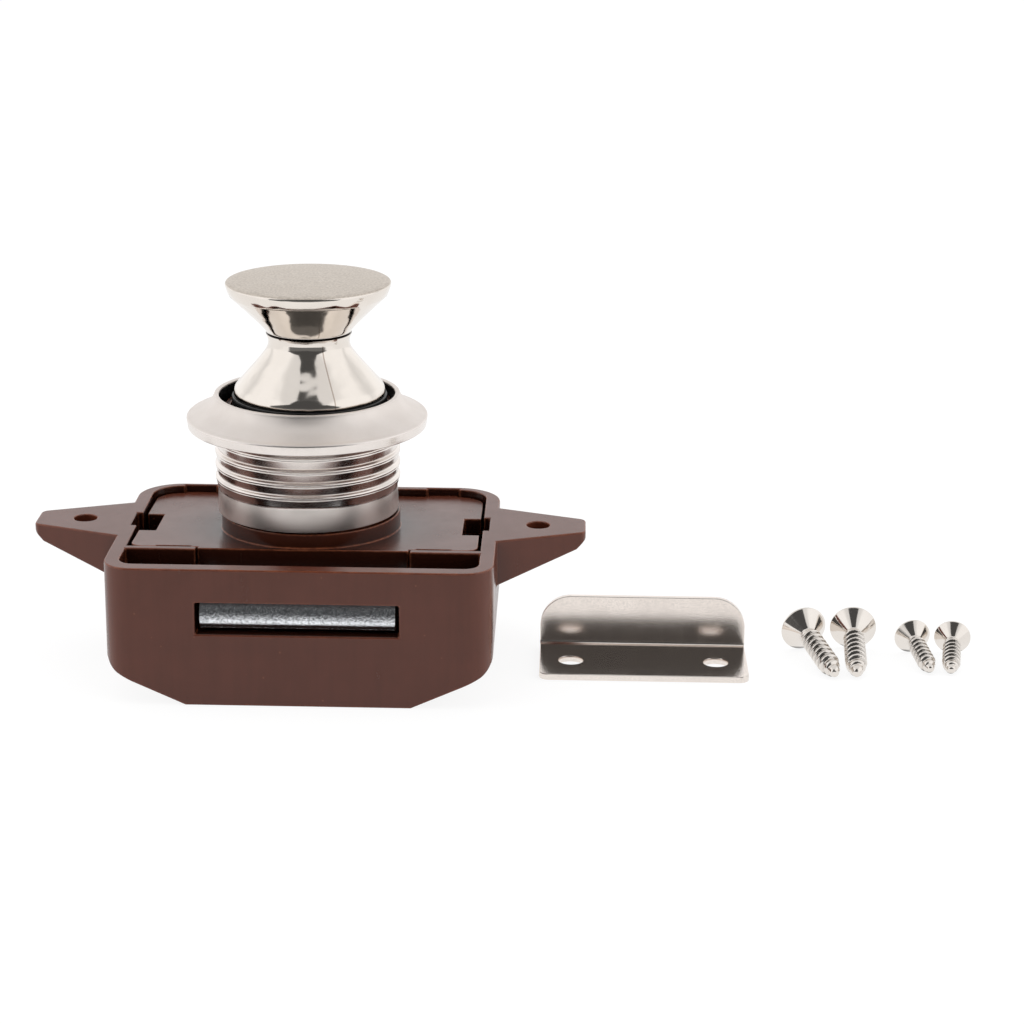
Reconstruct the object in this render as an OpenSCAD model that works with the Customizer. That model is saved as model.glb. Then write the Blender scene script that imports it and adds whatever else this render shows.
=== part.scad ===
// Push button cabinet lock: a moulded case that sits behind the door, a collar that clamps
// the door against it, a knob that stands out while the door is free, a sprung bolt that
// the knob drives forward, and the strike plate and screws that come with it.
// Millimetres. The origin is midway between the two ear screw holes on the mounting face.
// +Z is the knob axis, out of the door, and the bolt leaves along -Y.

/* [Case] */
// Width of the case
case_w = 51; // [48:0.2:60]
// Knob axis to the front face
case_front = 21.4; // [20.8:0.2:26]
// Knob axis to the back face
case_back = 17; // [16.6:0.2:24]
// Mounting face to the bottom
case_h = 18.8; // [17.6:0.2:24]
// Radius of the upright corners at the front
front_corner_r = 4; // [3:0.2:6]
// Radius of the upright corners at the back
back_corner_r = 6; // [3:0.2:8]
// Thickness of the side walls
side_wall = 2; // [1.4:0.1:2.6]
// Thickness of the front wall
front_wall = 2.2; // [1.4:0.1:2.6]
// Thickness of the back wall
back_wall = 1.2; // [1:0.1:2]
// Thickness of the floor
floor_t = 1.6; // [1.2:0.1:2.4]
// Width of the slope along each bottom edge
slope_w = 10.7; // [6:0.1:12]
// Height of the slope along each bottom edge
slope_h = 4.8; // [3:0.1:6]
// Radius where a side turns into its slope
shoulder_r = 3; // [1:0.2:5]
// Thickness of the cross wall on each side of the bolt
stub_t = 1.2; // [0.8:0.1:1.8]

/* [Ears] */
// Length of an ear beyond the case side
ear_len = 12; // [9:0.2:16]
// Width of an ear where it leaves the case
ear_root_w = 15.1; // [11:0.1:20]
// Width of an ear at its tip
ear_tip_w = 6.6; // [5:0.1:9]
// Depth of an ear where it leaves the case
ear_root_h = 6.4; // [4:0.1:9]
// Depth of an ear at its tip
ear_tip_h = 2.4; // [1.2:0.1:3]
// Radius of an ear's tip corners
ear_tip_r = 1.2; // [0.4:0.1:2]
// Diameter of the screw hole in an ear
ear_hole_d = 3.1; // [2.6:0.1:4.2]
// Case side to the centre of the screw hole
ear_hole_out = 5.5; // [4:0.1:7]

/* [Cover] */
// Depth of the cover's underside below the mounting face
cover_seat = 2.9; // [2.4:0.1:3.4]
// Depth of the cover's top face at its front edge
cover_drop_front = 0.1; // [0:0.05:0.4]
// Depth of the cover's top face at its back edge
cover_drop_back = 0.95; // [0.2:0.05:1.2]
// Gap between the cover and the case
cover_gap = 0.4; // [0.2:0.05:0.6]
// Diameter of the low boss that the collar stands on
boss_d = 24.3; // [23.8:0.1:25.5]
// Height of the low boss above the mounting face
boss_h = 1.95; // [1:0.05:2.2]
// Wall of the guide tube that stands on the boss
tube_wall = 0.8; // [0.5:0.05:1]
// Length of the notch in each side of the cover
notch_l = 8; // [5:0.1:10]
// Depth of the notch in each side of the cover
notch_d = 2.3; // [1:0.1:3]
// Length of the recess beside it in the case rim
rim_notch_l = 5.6; // [3:0.1:7]
// Depth of the recess beside it in the case rim
rim_notch_d = 0.85; // [0.4:0.05:1.2]
// Length of each snap slot along the front and back edges
snap_l = 4.6; // [3:0.1:6]

/* [Collar] */
// Diameter of the flange
flange_d = 32.5; // [29:0.1:38]
// Thickness of the flange at its edge
flange_edge = 1.25; // [0.8:0.05:2]
// Height of the flange's top edge above the mounting face
flange_z = 15.3; // [13:0.1:16]
// Height of the collar's lip above the mounting face
collar_top = 18.3; // [17.4:0.1:22]
// Height of the sleeve's lower end above the mounting face
collar_bottom = 2.2; // [2.1:0.05:5]
// Outer diameter of the sleeve over its ridges, for a 26 mm hole
sleeve_d = 25; // [24.8:0.1:25.8]
// Bore of the collar
collar_bore = 23.2; // [22.9:0.1:23.6]
// Width of the lip around the bore
lip_w = 0.9; // [0.5:0.05:1.4]
// Number of ring ridges around the sleeve
ridge_count = 4; // [2:1:5]
// Distance from one ridge to the next
ridge_pitch = 1.8; // [1.4:0.02:2]
// Width of a ring ridge
ridge_w = 0.8; // [0.5:0.05:1]
// Height of a ring ridge
ridge_h = 0.2; // [0.1:0.02:0.3]
// Height of the lowest ridge above the mounting face
ridge_z = 6.85; // [5:0.05:8]

/* [Knob] */
// Diameter of the knob's top disc
knob_d = 22.3; // [18:0.1:22.5]
// Height of the knob
knob_h = 15.5; // [14.6:0.1:15.7]
// Height of the waist above the knob's lower end
waist_h = 7.6; // [7:0.1:8.6]
// Diameter of the waist
waist_d = 11; // [9:0.1:12]
// Diameter of the skirt at the lower end
skirt_d = 20.4; // [17:0.1:20.8]
// Rise of the top disc's dome
dome_h = 0.45; // [0.1:0.05:1]
// Thickness of the top disc's edge
disc_edge = 0.95; // [0.4:0.05:1.2]
// Height of the knob above the collar's lip when it is pressed home
knob_proud = 0.4; // [0:0.05:1]

/* [Plunger] */
// Diameter of the stem
stem_d = 8.8; // [8:0.1:9]
// Bore of the stem, which holds the main spring
stem_bore = 5.1; // [4.9:0.1:5.6]
// Thickness of the flange under the knob
plunger_flange_t = 1.5; // [1:0.1:1.6]
// Diameter of the spigot inside the knob
spigot_d = 12; // [10:0.1:12.6]
// Length of the spigot inside the knob
spigot_l = 4.8; // [3:0.1:5]
// Diameter of the drive pins
pin_d = 1.6; // [1.2:0.05:1.8]
// Length of a drive pin inside the ramp groove
pin_reach = 1.5; // [1:0.1:1.8]

/* [Bolt] */
// Width of the bolt
bolt_w = 25.6; // [24:0.1:26.6]
// Height of the bolt
bolt_t = 3.95; // [3:0.05:4.4]
// Depth of the bolt's upper face below the mounting face
bolt_top = 4.8; // [4.4:0.05:5.4]
// Length of the bolt's head
bolt_len = 6.2; // [5.6:0.1:7]
// Distance of the resting bolt behind the front face
bolt_setback = 0.6; // [0:0.05:1.2]
// Radius of the bolt's lower front edge
bolt_edge_r = 1.7; // [0.4:0.1:2.4]
// Gap at each end of the bolt in its slot
bolt_end_gap = 0.5; // [0.2:0.05:0.8]
// Gap above and below the bolt in its slot
bolt_gap = 0.18; // [0.1:0.02:0.3]
// Travel of the bolt against its own springs
slam_travel = 5; // [4:0.1:5.2]
// Angle of the drive ramp from the knob axis
ramp_angle = 20; // [16:0.5:21]
// Thickness of each arm of the carrier
arm_t = 3.85; // [3.6:0.05:4.2]
// Width of each leg of the bolt
leg_w = 1.7; // [1.2:0.1:2]

/* [Springs] */
// Outer diameter of the main spring
main_spring_d = 4.6; // [4:0.1:4.8]
// Wire of the main spring
main_wire_d = 0.6; // [0.4:0.05:0.7]
// Turns of the main spring
main_turns = 14; // [10:1:16]
// Outer diameter of a bolt spring
bolt_spring_d = 2.8; // [2.2:0.1:2.9]
// Wire of a bolt spring
bolt_wire_d = 0.4; // [0.3:0.02:0.45]
// Turns of a bolt spring
bolt_turns = 9; // [6:1:10]
// Wire of the hold-in latch
latch_wire_d = 1.2; // [0.8:0.05:1.3]
// Length of the hold-in latch from pivot to tip
latch_arm = 12; // [11:0.1:12.6]
// Rise of the latch tip along the outward leg of its track
latch_rise = 1.6; // [1.2:0.1:2]
// Thickness of the leaf spring
leaf_t = 0.3; // [0.2:0.02:0.4]

/* [Strike plate] */
// Width of the strike plate
strike_w = 28.4; // [26:0.1:34]
// Depth of its base
strike_base = 13.2; // [11:0.1:18]
// Height of its upright
strike_up = 7.7; // [6.5:0.1:14]
// Thickness of the sheet
strike_t = 0.9; // [0.6:0.05:1.5]
// Radius of the upright's top corners
strike_corner_r = 4.3; // [1:0.1:5]
// Radius of the base's front corners
strike_base_r = 1.3; // [0.4:0.1:2]
// Inner radius of the bend
strike_bend_r = 0.4; // [0.2:0.05:0.8]
// Diameter of its screw holes
strike_hole_d = 3.4; // [2.6:0.1:4]
// Distance between its screw holes
strike_hole_spacing = 19.8; // [14:0.1:22]
// Distance from the base's front edge to the screw holes
strike_hole_in = 5.5; // [3.5:0.1:7]
// Gap between the case side and the strike plate where they lie
strike_apart = 5.95; // [2:0.05:12]

/* [Screws] */
// Thread diameter of the two screws for the ears
ear_screw_d = 3; // [2.2:0.1:3]
// Head diameter of the two screws for the ears
ear_screw_head_d = 6.4; // [5:0.1:7]
// Length of the two screws for the ears
ear_screw_l = 13; // [10:0.5:20]
// Thread diameter of the two screws for the strike plate
strike_screw_d = 2.5; // [2:0.1:3]
// Head diameter of the two screws for the strike plate
strike_screw_head_d = 5; // [4.4:0.1:6]
// Length of the two screws for the strike plate
strike_screw_l = 9.5; // [8:0.5:14]
// Gap between the strike plate and the first screw where they lie
screws_apart = 5; // [3:0.1:12]

/* [Hidden] */

$fn = 96;
// Clearances: between sliding pieces, beside close guides, and past a cut
slide_gap = 0.3;
guide_gap = 0.2;
fit_gap = 0.15;
over = 1;

// Colours of the materials
brown = [0.36, 0.23, 0.19];
nickel = [0.78, 0.75, 0.71];
zinc = [0.68, 0.72, 0.76];
black = [0.09, 0.09, 0.10];
white = [0.86, 0.85, 0.80];
steel = [0.55, 0.56, 0.58];

// Case
case_x = case_w / 2;
floor_z = floor_t - case_h;
inner_x = case_x - side_wall;
inner_front = front_wall - case_front;
inner_back = case_back - back_wall;
slope_angle = atan2(slope_h, slope_w);
bottom_x = case_x - slope_w;
slope_top_z = slope_h - case_h;
inner_slope_x = bottom_x - floor_t * sin(slope_angle)
                + floor_t * (1 - cos(slope_angle)) / tan(slope_angle);
inner_slope_z = floor_z + (inner_x - inner_slope_x) * tan(slope_angle);
ear_hole_x = case_x + ear_hole_out;

// Cover and boss. The tongue is the cover's front edge between the two cross walls.
boss_r = boss_d / 2;
tongue_proud = 0.1;
tongue_front = -boss_r - tongue_proud;
tongue_step = 0.65;
stub_front = tongue_front - tongue_step;
stub_back = stub_front + stub_t;
cover_front = stub_back + guide_gap;
cover_x = inner_x - cover_gap;
cover_back = inner_back - cover_gap;
cover_front_r = 1.6;
cover_tilt = atan2(cover_drop_back - cover_drop_front, cover_back - cover_front);
tube_r = collar_bore / 2 - fit_gap;
tube_bore = tube_r - tube_wall;
tube_short = 1.65;
tube_top = collar_top - tube_short;
web_edge = 0.4;

// Height chain of the drive, from the pressed plunger flange down to the floor
knob_seat_gap = 0.1;
flange_pressed_z = collar_top + knob_proud - knob_h - knob_seat_gap - plunger_flange_t;
finger_clear = 0.55;
finger_top = flange_pressed_z - finger_clear;
finger_roof = 0.8;
pin_r = pin_d / 2;
groove_r = pin_r + fit_gap;
pin_z = finger_top - finger_roof - groove_r;
pin_below = 0.4;
stem_z = pin_z - pin_r - pin_below;
press_travel = stem_z - floor_z - slide_gap;
carrier_travel = press_travel * tan(ramp_angle);
knob_z = collar_top + knob_proud + press_travel - knob_h;
plunger_flange_z = knob_z - knob_seat_gap - plunger_flange_t;
web_top = finger_top - fit_gap;

// Plunger
stem_r = stem_d / 2;
stem_bore_r = stem_bore / 2;
plunger_flange_r = tube_bore - guide_gap;
spigot_top = knob_z + spigot_l;
bore_roof = 2.2;
bore_top = plunger_flange_z - bore_roof;
screw_hole_r = 1.3;
press_gap = 0.01;

// Knob screw and its washer
washer_t = 0.5;
washer_r = stem_bore_r - fit_gap;
washer_slot = 0.4;
knob_screw_inset = 0.1;
knob_screw_head_r = washer_r - knob_screw_inset;
knob_screw_head_h = 1.5;
knob_screw_slot = 0.6;
knob_screw_gap = 0.05;
knob_screw_r = screw_hole_r - knob_screw_gap;
knob_screw_z = bore_top - washer_t - knob_screw_head_h;
knob_screw_bite = 2.4;
knob_screw_tip = knob_z + waist_h + knob_screw_bite;

// Bolt, its carrier and the two springs between them
bolt_x = bolt_w / 2;
bolt_z1 = -bolt_top;
bolt_z0 = bolt_z1 - bolt_t;
bolt_mid = (bolt_z0 + bolt_z1) / 2;
bolt_front = bolt_setback - case_front;
bolt_back = bolt_front + bolt_len;
arm_gap = 0.35;
arm_x0 = stem_r + arm_gap;
arm_x1 = arm_x0 + arm_t;
arm_top = -cover_seat - slide_gap;
arm_bottom = floor_z + guide_gap;
block_front = bolt_back + slam_travel + guide_gap;
block_gap = 0.5;
block_above = 0.8;
block_below = 2.2;
block_back = -stem_r - block_gap;
block_top = bolt_z1 + block_above;
block_bottom = bolt_z0 - block_below;
arm_end = 1.8;
arm_back = carrier_travel + groove_r + arm_end;
finger_x1 = arm_x0 + pin_reach + fit_gap;
groove_past = 0.25;
groove_x1 = finger_x1 + groove_past;
finger_wall_front = 0.85;
finger_wall_back = 2.1;
finger_front = -groove_r - finger_wall_front;
finger_back = groove_r + finger_wall_back;
spring_out = 0.1;
spring_x = (arm_x0 + arm_x1) / 2 + spring_out;
pocket_gap = 0.18;
pocket_r = bolt_spring_d / 2 + pocket_gap;
pocket_end = -2.4;
leg_x0 = arm_x1 + slide_gap;
leg_x1 = leg_x0 + leg_w;
leg_h = 2.8;
leg_z0 = bolt_mid - leg_h / 2;
leg_z1 = bolt_mid + leg_h / 2;
lug_front = -2.5;
lug_back = -0.7;
lug_h = 2;
lug_top = leg_z0 - slide_gap;
lug_bottom = lug_top - lug_h;
hook_l = 1.7;
hook_front = lug_back + guide_gap;
hook_back = hook_front + hook_l;
stub_gap = 0.9;
stub_x = bolt_x + bolt_end_gap + stub_gap;

// Rails under the bolt, guides beside the carrier, its back stops, and the cover's ledges
rail_in = 2;
rail_t = 1.2;
guide_t = 1.2;
guide_h = 2;
stop_t = 1.5;
stop_h = 8;
ledge_w = 3;
ledge_l = 2.6;
post_rise = 6;

// Snaps at the cover's front and back edges
snap_x = stub_x + 0.8;
snap_slot = 0.35;
snap_depth = 0.5;
snap_tab = 0.3;
rim_notch_below = 1.5;

// Hold-in latch: a wire that swings about the X axis and runs in a heart-shaped track
latch_r = latch_wire_d / 2;
latch_y = latch_arm;
latch_h = 4.7;
latch_z = floor_z + latch_h;
latch_x = arm_x1 + slide_gap + latch_r;
track_gap = 0.35;
track_r = latch_r + track_gap;
track_depth = 1.2;
pivot_l = 3.6;
pivot_x0 = latch_x + latch_r + fit_gap;
pivot_x1 = pivot_x0 + pivot_l;
pivot_half = 1.8;
pivot_gap = 0.08;
pivot_end = 0.6;
leaf_w = 3;
leaf_touch_y = 3.2;
leaf_tip = 0.6;
leaf_gap = 0.05;
keeper_t = 1.25;

// Strike plate and screws, lying beside the lock on the surface it stands on
strike_x = case_x + strike_apart + strike_w / 2;
strike_front = -10;
strike_back = strike_front + strike_base;
screws_x = strike_x + strike_w / 2 + screws_apart;
ear_screw_gap = 7;
screw_pair_gap = 8.8;
strike_screws_x = screws_x + ear_screw_gap + screw_pair_gap;
strike_screw_gap = 5.6;
tip_share = 0.22;
rim_share = 0.1;

// Where each screw's head lies along Y, and how far the screw is turned from the Y axis
ear_screw_left_y = 3.8;
ear_screw_right_y = 4.4;
strike_screw_left_y = 3.2;
strike_screw_right_y = 3;
ear_screw_left_turn = 16;
ear_screw_right_turn = -2.6;
strike_screw_left_turn = 9.5;
strike_screw_right_turn = -8.3;

// Points of an arc, from angle a0 to a1
function arc(centre, r, a0, a1, steps) =
  [for (i = [0:steps]) let (a = a0 + (a1 - a0) * i / steps) centre + r * [cos(a), sin(a)]];

// Points of a cubic curve through p and s, pulled towards q and r
function curve(p, q, r, s, steps) =
  [for (i = [0:steps]) let (t = i / steps, u = 1 - t)
    u * u * u * p + 3 * u * u * t * q + 3 * u * t * t * r + t * t * t * s];

// Points along a spring's wire, rising from z = 0
function coil_point(r, rise, turns, i, per_turn) =
  let (a = 360 * i / per_turn)
  [r * cos(a), r * sin(a), rise * i / (per_turn * turns)];

// Corners of the wire's cross-section at one of those points
function coil_ring(r, rise, turns, wire_r, i, per_turn, sides) =
  let (a = 360 * i / per_turn, lean = atan2(rise / turns, 2 * PI * r),
       out = [cos(a), sin(a), 0], up = [sin(a) * sin(lean), -cos(a) * sin(lean), cos(lean)])
  [for (k = [0:sides - 1]) let (b = 360 * k / sides)
    coil_point(r, rise, turns, i, per_turn) + wire_r * (cos(b) * out + sin(b) * up)];

// Least distance between two turns of a spring, from surface to surface
function coil_gap(r, rise, turns, wire_r, per_turn) =
  let (p = [for (i = [0:per_turn * turns]) coil_point(r, rise, turns, i, per_turn)])
  min([for (i = [0:len(p) - 1]) for (j = [i + per_turn / 2:len(p) - 1]) norm(p[i] - p[j])])
  - 2 * wire_r;

// A round-wire spring of the given outside length, standing on z = 0
module coil(outer_d, wire_d, turns, length) {
  per_turn = 8;
  sides = 6;
  wire_r = wire_d / 2;
  r = outer_d / 2 - wire_r;
  rise = length - wire_d;
  last = per_turn * turns;
  points = [for (i = [0:last]) each coil_ring(r, rise, turns, wire_r, i, per_turn, sides)];
  walls = [for (i = [0:last - 1]) for (k = [0:sides - 1])
    let (a = i * sides + k, b = i * sides + (k + 1) % sides)
    each [[a, b, b + sides], [a, b + sides, a + sides]]];
  caps = [for (k = [1:sides - 2])
    each [[0, k + 1, k], [last * sides, last * sides + k, last * sides + k + 1]]];
  echo(least_gap_between_turns = coil_gap(r, rise, turns, wire_r, per_turn));
  translate([0, 0, wire_r]) polyhedron(points, concat(walls, caps), convexity = 10);
}

// Outline with rounded corners, r_low on the two corners at y0 and r_high at y1
module round_outline(x0, x1, y0, y1, r_low, r_high) {
  polygon([[x0 + r_low, y0], [x1 - r_low, y0], [x1 - r_low, y0 + r_low], [x1, y0 + r_low],
           [x1, y1 - r_high], [x1 - r_high, y1 - r_high], [x1 - r_high, y1],
           [x0 + r_high, y1], [x0 + r_high, y1 - r_high], [x0, y1 - r_high],
           [x0, y0 + r_low], [x0 + r_low, y0 + r_low]]);
  for (x = [x0 + r_low, x1 - r_low]) translate([x, y0 + r_low]) circle(r_low);
  for (x = [x0 + r_high, x1 - r_high]) translate([x, y1 - r_high]) circle(r_high);
}

// A box between two corners
module block(low, high) {
  translate(low) cube(high - low);
}

// A block on each side of the middle, from x0 out to x1
module side_blocks(x0, x1, y0, y1, z0, z1) {
  for (side = [0, 1]) mirror([side, 0, 0]) block([x0, y0, z0], [x1, y1, z1]);
}

// A rod along X from x0 to x1
module x_rod(r, x0, x1, y, z) {
  translate([x0, y, z]) rotate([0, 90, 0]) cylinder(r = r, h = x1 - x0);
}

// A straight track with round ends between two points of the YZ plane, cut from x0 to x1
module x_track(r, x0, x1, p, q) {
  a = atan2(q.y - p.y, q.x - p.x);
  translate([x0, 0, 0]) rotate([90, 0, 90]) linear_extrude(x1 - x0)
    polygon(concat(arc(p, r, a + 90, a + 270, 12), arc(q, r, a - 90, a + 90, 12)));
}

// The XZ outline of the case, with its sloped bottom edges and round shoulders
module case_front_outline() {
  turn = 90 - slope_angle;
  tangent = shoulder_r * tan(turn / 2);
  shoulder = arc([case_x - shoulder_r, slope_top_z + tangent], shoulder_r, 0, -turn, 12);
  left = [for (i = [len(shoulder) - 1:-1:0]) [-shoulder[i].x, shoulder[i].y]];
  polygon(concat([[case_x, 0]], shoulder, [[bottom_x, -case_h], [-bottom_x, -case_h]],
                 left, [[-case_x, 0]]));
}

// The case without its ears or hollow
module case_block() {
  intersection() {
    translate([0, 0, -case_h]) linear_extrude(case_h)
      round_outline(-case_x, case_x, -case_front, case_back, front_corner_r, back_corner_r);
    translate([0, case_back + over, 0]) rotate([90, 0, 0])
      linear_extrude(case_front + case_back + 2 * over) case_front_outline();
  }
}

// The hollow of the case, open at the top
module case_hollow() {
  intersection() {
    translate([0, 0, floor_z]) linear_extrude(over - floor_z)
      round_outline(-inner_x, inner_x, inner_front, inner_back,
                    max(front_corner_r - side_wall, snap_depth),
                    max(back_corner_r - side_wall, snap_depth));
    translate([0, case_back, 0]) rotate([90, 0, 0]) linear_extrude(case_front + case_back)
      polygon([[inner_x + over, over * 2], [inner_x + over, inner_slope_z + over * tan(slope_angle)],
               [inner_slope_x, floor_z - press_gap], [-inner_slope_x, floor_z - press_gap],
               [-inner_x - over, inner_slope_z + over * tan(slope_angle)],
               [-inner_x - over, over * 2]]);
  }
}

// What stands inside the hollow: cross walls, guides, stops, posts and the latch's pivot
module case_fittings() {
  side_blocks(stub_x, case_x, stub_front, stub_back, -case_h, over * 3);
  side_blocks(bolt_x - rail_in, bolt_x - rail_in + rail_t, -case_front, stub_front,
              -case_h, bolt_z0 - guide_gap);
  side_blocks(leg_x0, leg_x0 + guide_t, block_back, arm_back, -case_h, floor_z + guide_h);
  side_blocks(arm_x0, arm_x1, arm_back + guide_gap, arm_back + guide_gap + stop_t,
              -case_h, floor_z + stop_h);
  for (y = [[stub_front, cover_front + ledge_l], [cover_back - ledge_l, case_back]])
    side_blocks(inner_x - ledge_w, case_x, y[0], y[1], -case_h, -cover_seat);
  translate([0, 0, -case_h]) cylinder(r = main_spring_d / 2 - main_wire_d - guide_gap,
                                      h = pin_z - press_travel + case_h + post_rise);
  keeper_x = pivot_x1 + leaf_t + leaf_gap;
  for (x = [[pivot_x0, pivot_x1], [keeper_x, keeper_x + keeper_t]])
    block([x[0], latch_y - pivot_half, -case_h], [x[1], latch_y + pivot_half, latch_z + pivot_half]);
}

// One ear: tapered in plan, with a sloped underside
module ear() {
  x0 = case_x - side_wall / 2;
  x1 = case_x + ear_len;
  root = ear_root_w / 2;
  tip = ear_tip_w / 2;
  corner = arc([x1 - ear_tip_r, tip - ear_tip_r], ear_tip_r, 60, 0, 6);
  low = [for (i = [len(corner) - 1:-1:0]) [corner[i].x, -corner[i].y]];
  intersection() {
    translate([0, 0, -case_h]) linear_extrude(case_h)
      polygon(concat([[x0, -root], [x0, root], [case_x, root]], corner, low, [[case_x, -root]]));
    translate([0, root + over, 0]) rotate([90, 0, 0]) linear_extrude(ear_root_w + 2 * over)
      polygon([[x0, 0], [x1, 0], [x1, -ear_tip_h / 2], [x1 - ear_tip_r, -ear_tip_h],
               [case_x, -ear_root_h], [x0, -ear_root_h]]);
  }
}

module housing() {
  color(brown) difference() {
    union() {
      case_block();
      for (side = [0, 1]) mirror([side, 0, 0]) ear();
    }
    difference() {
      case_hollow();
      case_fittings();
    }
    block([-bolt_x - bolt_end_gap, -case_front - over, bolt_z0 - bolt_gap],
          [bolt_x + bolt_end_gap, inner_front + over, bolt_z1 + bolt_gap]);
    for (x = [-ear_hole_x, ear_hole_x]) translate([x, 0, -case_h])
      cylinder(d = ear_hole_d, h = case_h + over);
    side_blocks(inner_x - over, inner_x + rim_notch_d, -rim_notch_l / 2, rim_notch_l / 2,
                -cover_seat - rim_notch_below, over);
    side_blocks(snap_x, snap_x + snap_l, inner_back - over, inner_back + snap_depth,
                -cover_seat - cover_gap, over);
    x_rod(latch_r + pivot_gap, pivot_x0 - over, pivot_x1 - pivot_end, latch_y, latch_z);
  }
}

// The cover's plan, with its tongue, side notches and front snap slots
module cover_outline() {
  difference() {
    union() {
      round_outline(-cover_x, cover_x, cover_front, cover_back, cover_front_r,
                    max(back_corner_r - side_wall - cover_gap, snap_depth));
      translate([-stub_x + guide_gap, tongue_front])
        square([2 * (stub_x - guide_gap), cover_front - tongue_front + over]);
      for (side = [0, 1]) mirror([side, 0]) translate([snap_x + guide_gap, cover_back - over])
        square([snap_l - 2 * guide_gap, cover_gap + over + snap_tab]);
    }
    for (side = [0, 1]) mirror([side, 0]) {
      translate([cover_x - notch_d, -notch_l / 2]) square([notch_d + over, notch_l]);
      translate([snap_x, cover_front - over]) square([snap_l, over + snap_slot]);
    }
    circle(tube_bore - web_edge);
  }
}

module cover() {
  color(brown) difference() {
    union() {
      difference() {
        translate([0, 0, -cover_seat]) linear_extrude(cover_seat + over) cover_outline();
        translate([-case_w, cover_front, -cover_drop_front]) rotate([-cover_tilt, 0, 0])
          translate([0, -case_front, 0]) cube([2 * case_w, 3 * case_front, 3 * over]);
      }
      translate([0, 0, -cover_seat]) cylinder(r = boss_r, h = cover_seat + boss_h);
      translate([0, 0, -cover_seat]) cylinder(r = tube_r, h = cover_seat + tube_top);
    }
    translate([0, 0, web_top]) cylinder(r = tube_bore, h = tube_top);
    translate([0, 0, -cover_seat - over]) cylinder(r = stem_r + guide_gap, h = case_h);
    side_blocks(stem_r, finger_x1 + slide_gap, finger_front - carrier_travel - slide_gap,
                finger_back + slide_gap, -cover_seat - over, web_top + over);
  }
}

// Height of the collar's flange underside and the radii of its profile
flange_r = flange_d / 2;
sleeve_r = sleeve_d / 2;
bore_r = collar_bore / 2;
lip_r = bore_r + lip_w;
flange_low = flange_z - flange_edge;
flange_round = 0.35;
lip_round = 0.25;
bore_round = 0.15;
sleeve_chamfer = 0.25;

// One ring ridge of the sleeve's profile, from its upper edge to its lower edge
land_r = sleeve_r - ridge_h;
function ridge_profile(z) =
  [[land_r, z + ridge_w / 2], [sleeve_r, z + ridge_w / 6],
   [sleeve_r, z - ridge_w / 6], [land_r, z - ridge_w / 2]];

module collar() {
  run = flange_r - lip_r;
  rise = collar_top - flange_z;
  top = curve([lip_r, collar_top - lip_round], [lip_r + 0.16 * run, collar_top - 0.53 * rise],
              [flange_r - 0.53 * run, flange_z + 0.27 * rise], [flange_r - flange_round, flange_z], 10);
  ridge_heights = [for (i = [ridge_count - 1:-1:0]) ridge_z + i * ridge_pitch];
  ridges = [for (z = ridge_heights)
    if (z + ridge_w < flange_low && z - ridge_w > collar_bottom + sleeve_chamfer) each ridge_profile(z)];
  color(nickel) rotate_extrude()
    polygon(concat([[bore_r, collar_top - bore_round], [bore_r + bore_round, collar_top],
                    [lip_r - lip_round, collar_top]], top,
                   [[flange_r, flange_z - flange_round], [flange_r, flange_low + bore_round],
                    [flange_r - bore_round, flange_low], [land_r, flange_low]],
                   ridges,
                   [[land_r, collar_bottom + sleeve_chamfer],
                    [land_r - sleeve_chamfer, collar_bottom], [bore_r, collar_bottom]]));
}

// Radii and heights of the knob's profile
knob_r = knob_d / 2;
waist_r = waist_d / 2;
skirt_r = skirt_d / 2;
knob_top = knob_z + knob_h;
waist_z = knob_z + waist_h;
knob_cavity_r = spigot_d / 2 + fit_gap;
skirt_band = 0.9;
skirt_round = 0.2;
waist_bend = 1.35;
neck_h = 0.95;
neck_flare = 0.1;
neck_bend = 0.5;
crease = 0.12;
disc_round = 0.25;
disc_under = 0.25;
disc_slope = 0.7;

module knob() {
  bend = [waist_r, waist_z - waist_bend];
  neck_r = waist_r + neck_flare;
  neck_z = waist_z + neck_h;
  corner = [neck_r, neck_z + neck_bend];
  rim = [knob_r - disc_under, knob_top - disc_edge - disc_slope];
  lower = curve([skirt_r, knob_z + skirt_band], bend, bend, [waist_r, waist_z], 12);
  upper = curve([neck_r, neck_z + crease], corner, (corner + rim) / 2, rim, 12);
  dome = curve([knob_r - disc_round, knob_top], [knob_r * 0.7, knob_top + dome_h * 0.75],
               [knob_r * 0.35, knob_top + dome_h], [0, knob_top + dome_h], 8);
  color(nickel) rotate_extrude()
    polygon(concat([[knob_cavity_r, knob_z], [skirt_r - skirt_round, knob_z],
                    [skirt_r, knob_z + skirt_round]],
                   lower, [[neck_r, neck_z - crease], [neck_r - crease, neck_z]], upper,
                   [[knob_r, knob_top - disc_edge], [knob_r, knob_top - disc_round]], dome,
                   [[0, knob_screw_tip + screw_hole_r / 2], [screw_hole_r, knob_screw_tip + slide_gap],
                    [screw_hole_r, spigot_top + fit_gap], [knob_cavity_r, spigot_top + fit_gap]]));
}

module plunger() {
  color(black) difference() {
    union() {
      translate([0, 0, stem_z]) cylinder(r = stem_r, h = plunger_flange_z - stem_z + 0.5);
      translate([0, 0, plunger_flange_z]) cylinder(r = plunger_flange_r, h = plunger_flange_t);
      translate([0, 0, plunger_flange_z]) cylinder(d = spigot_d, h = spigot_top - plunger_flange_z);
    }
    translate([0, 0, stem_z - over]) cylinder(r = stem_bore_r, h = bore_top - stem_z + over);
    translate([0, 0, stem_z]) cylinder(r = screw_hole_r, h = spigot_top - stem_z + over);
    x_rod(pin_r + press_gap, -stem_r - over, stem_r + over, 0, pin_z);
  }
}

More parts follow.
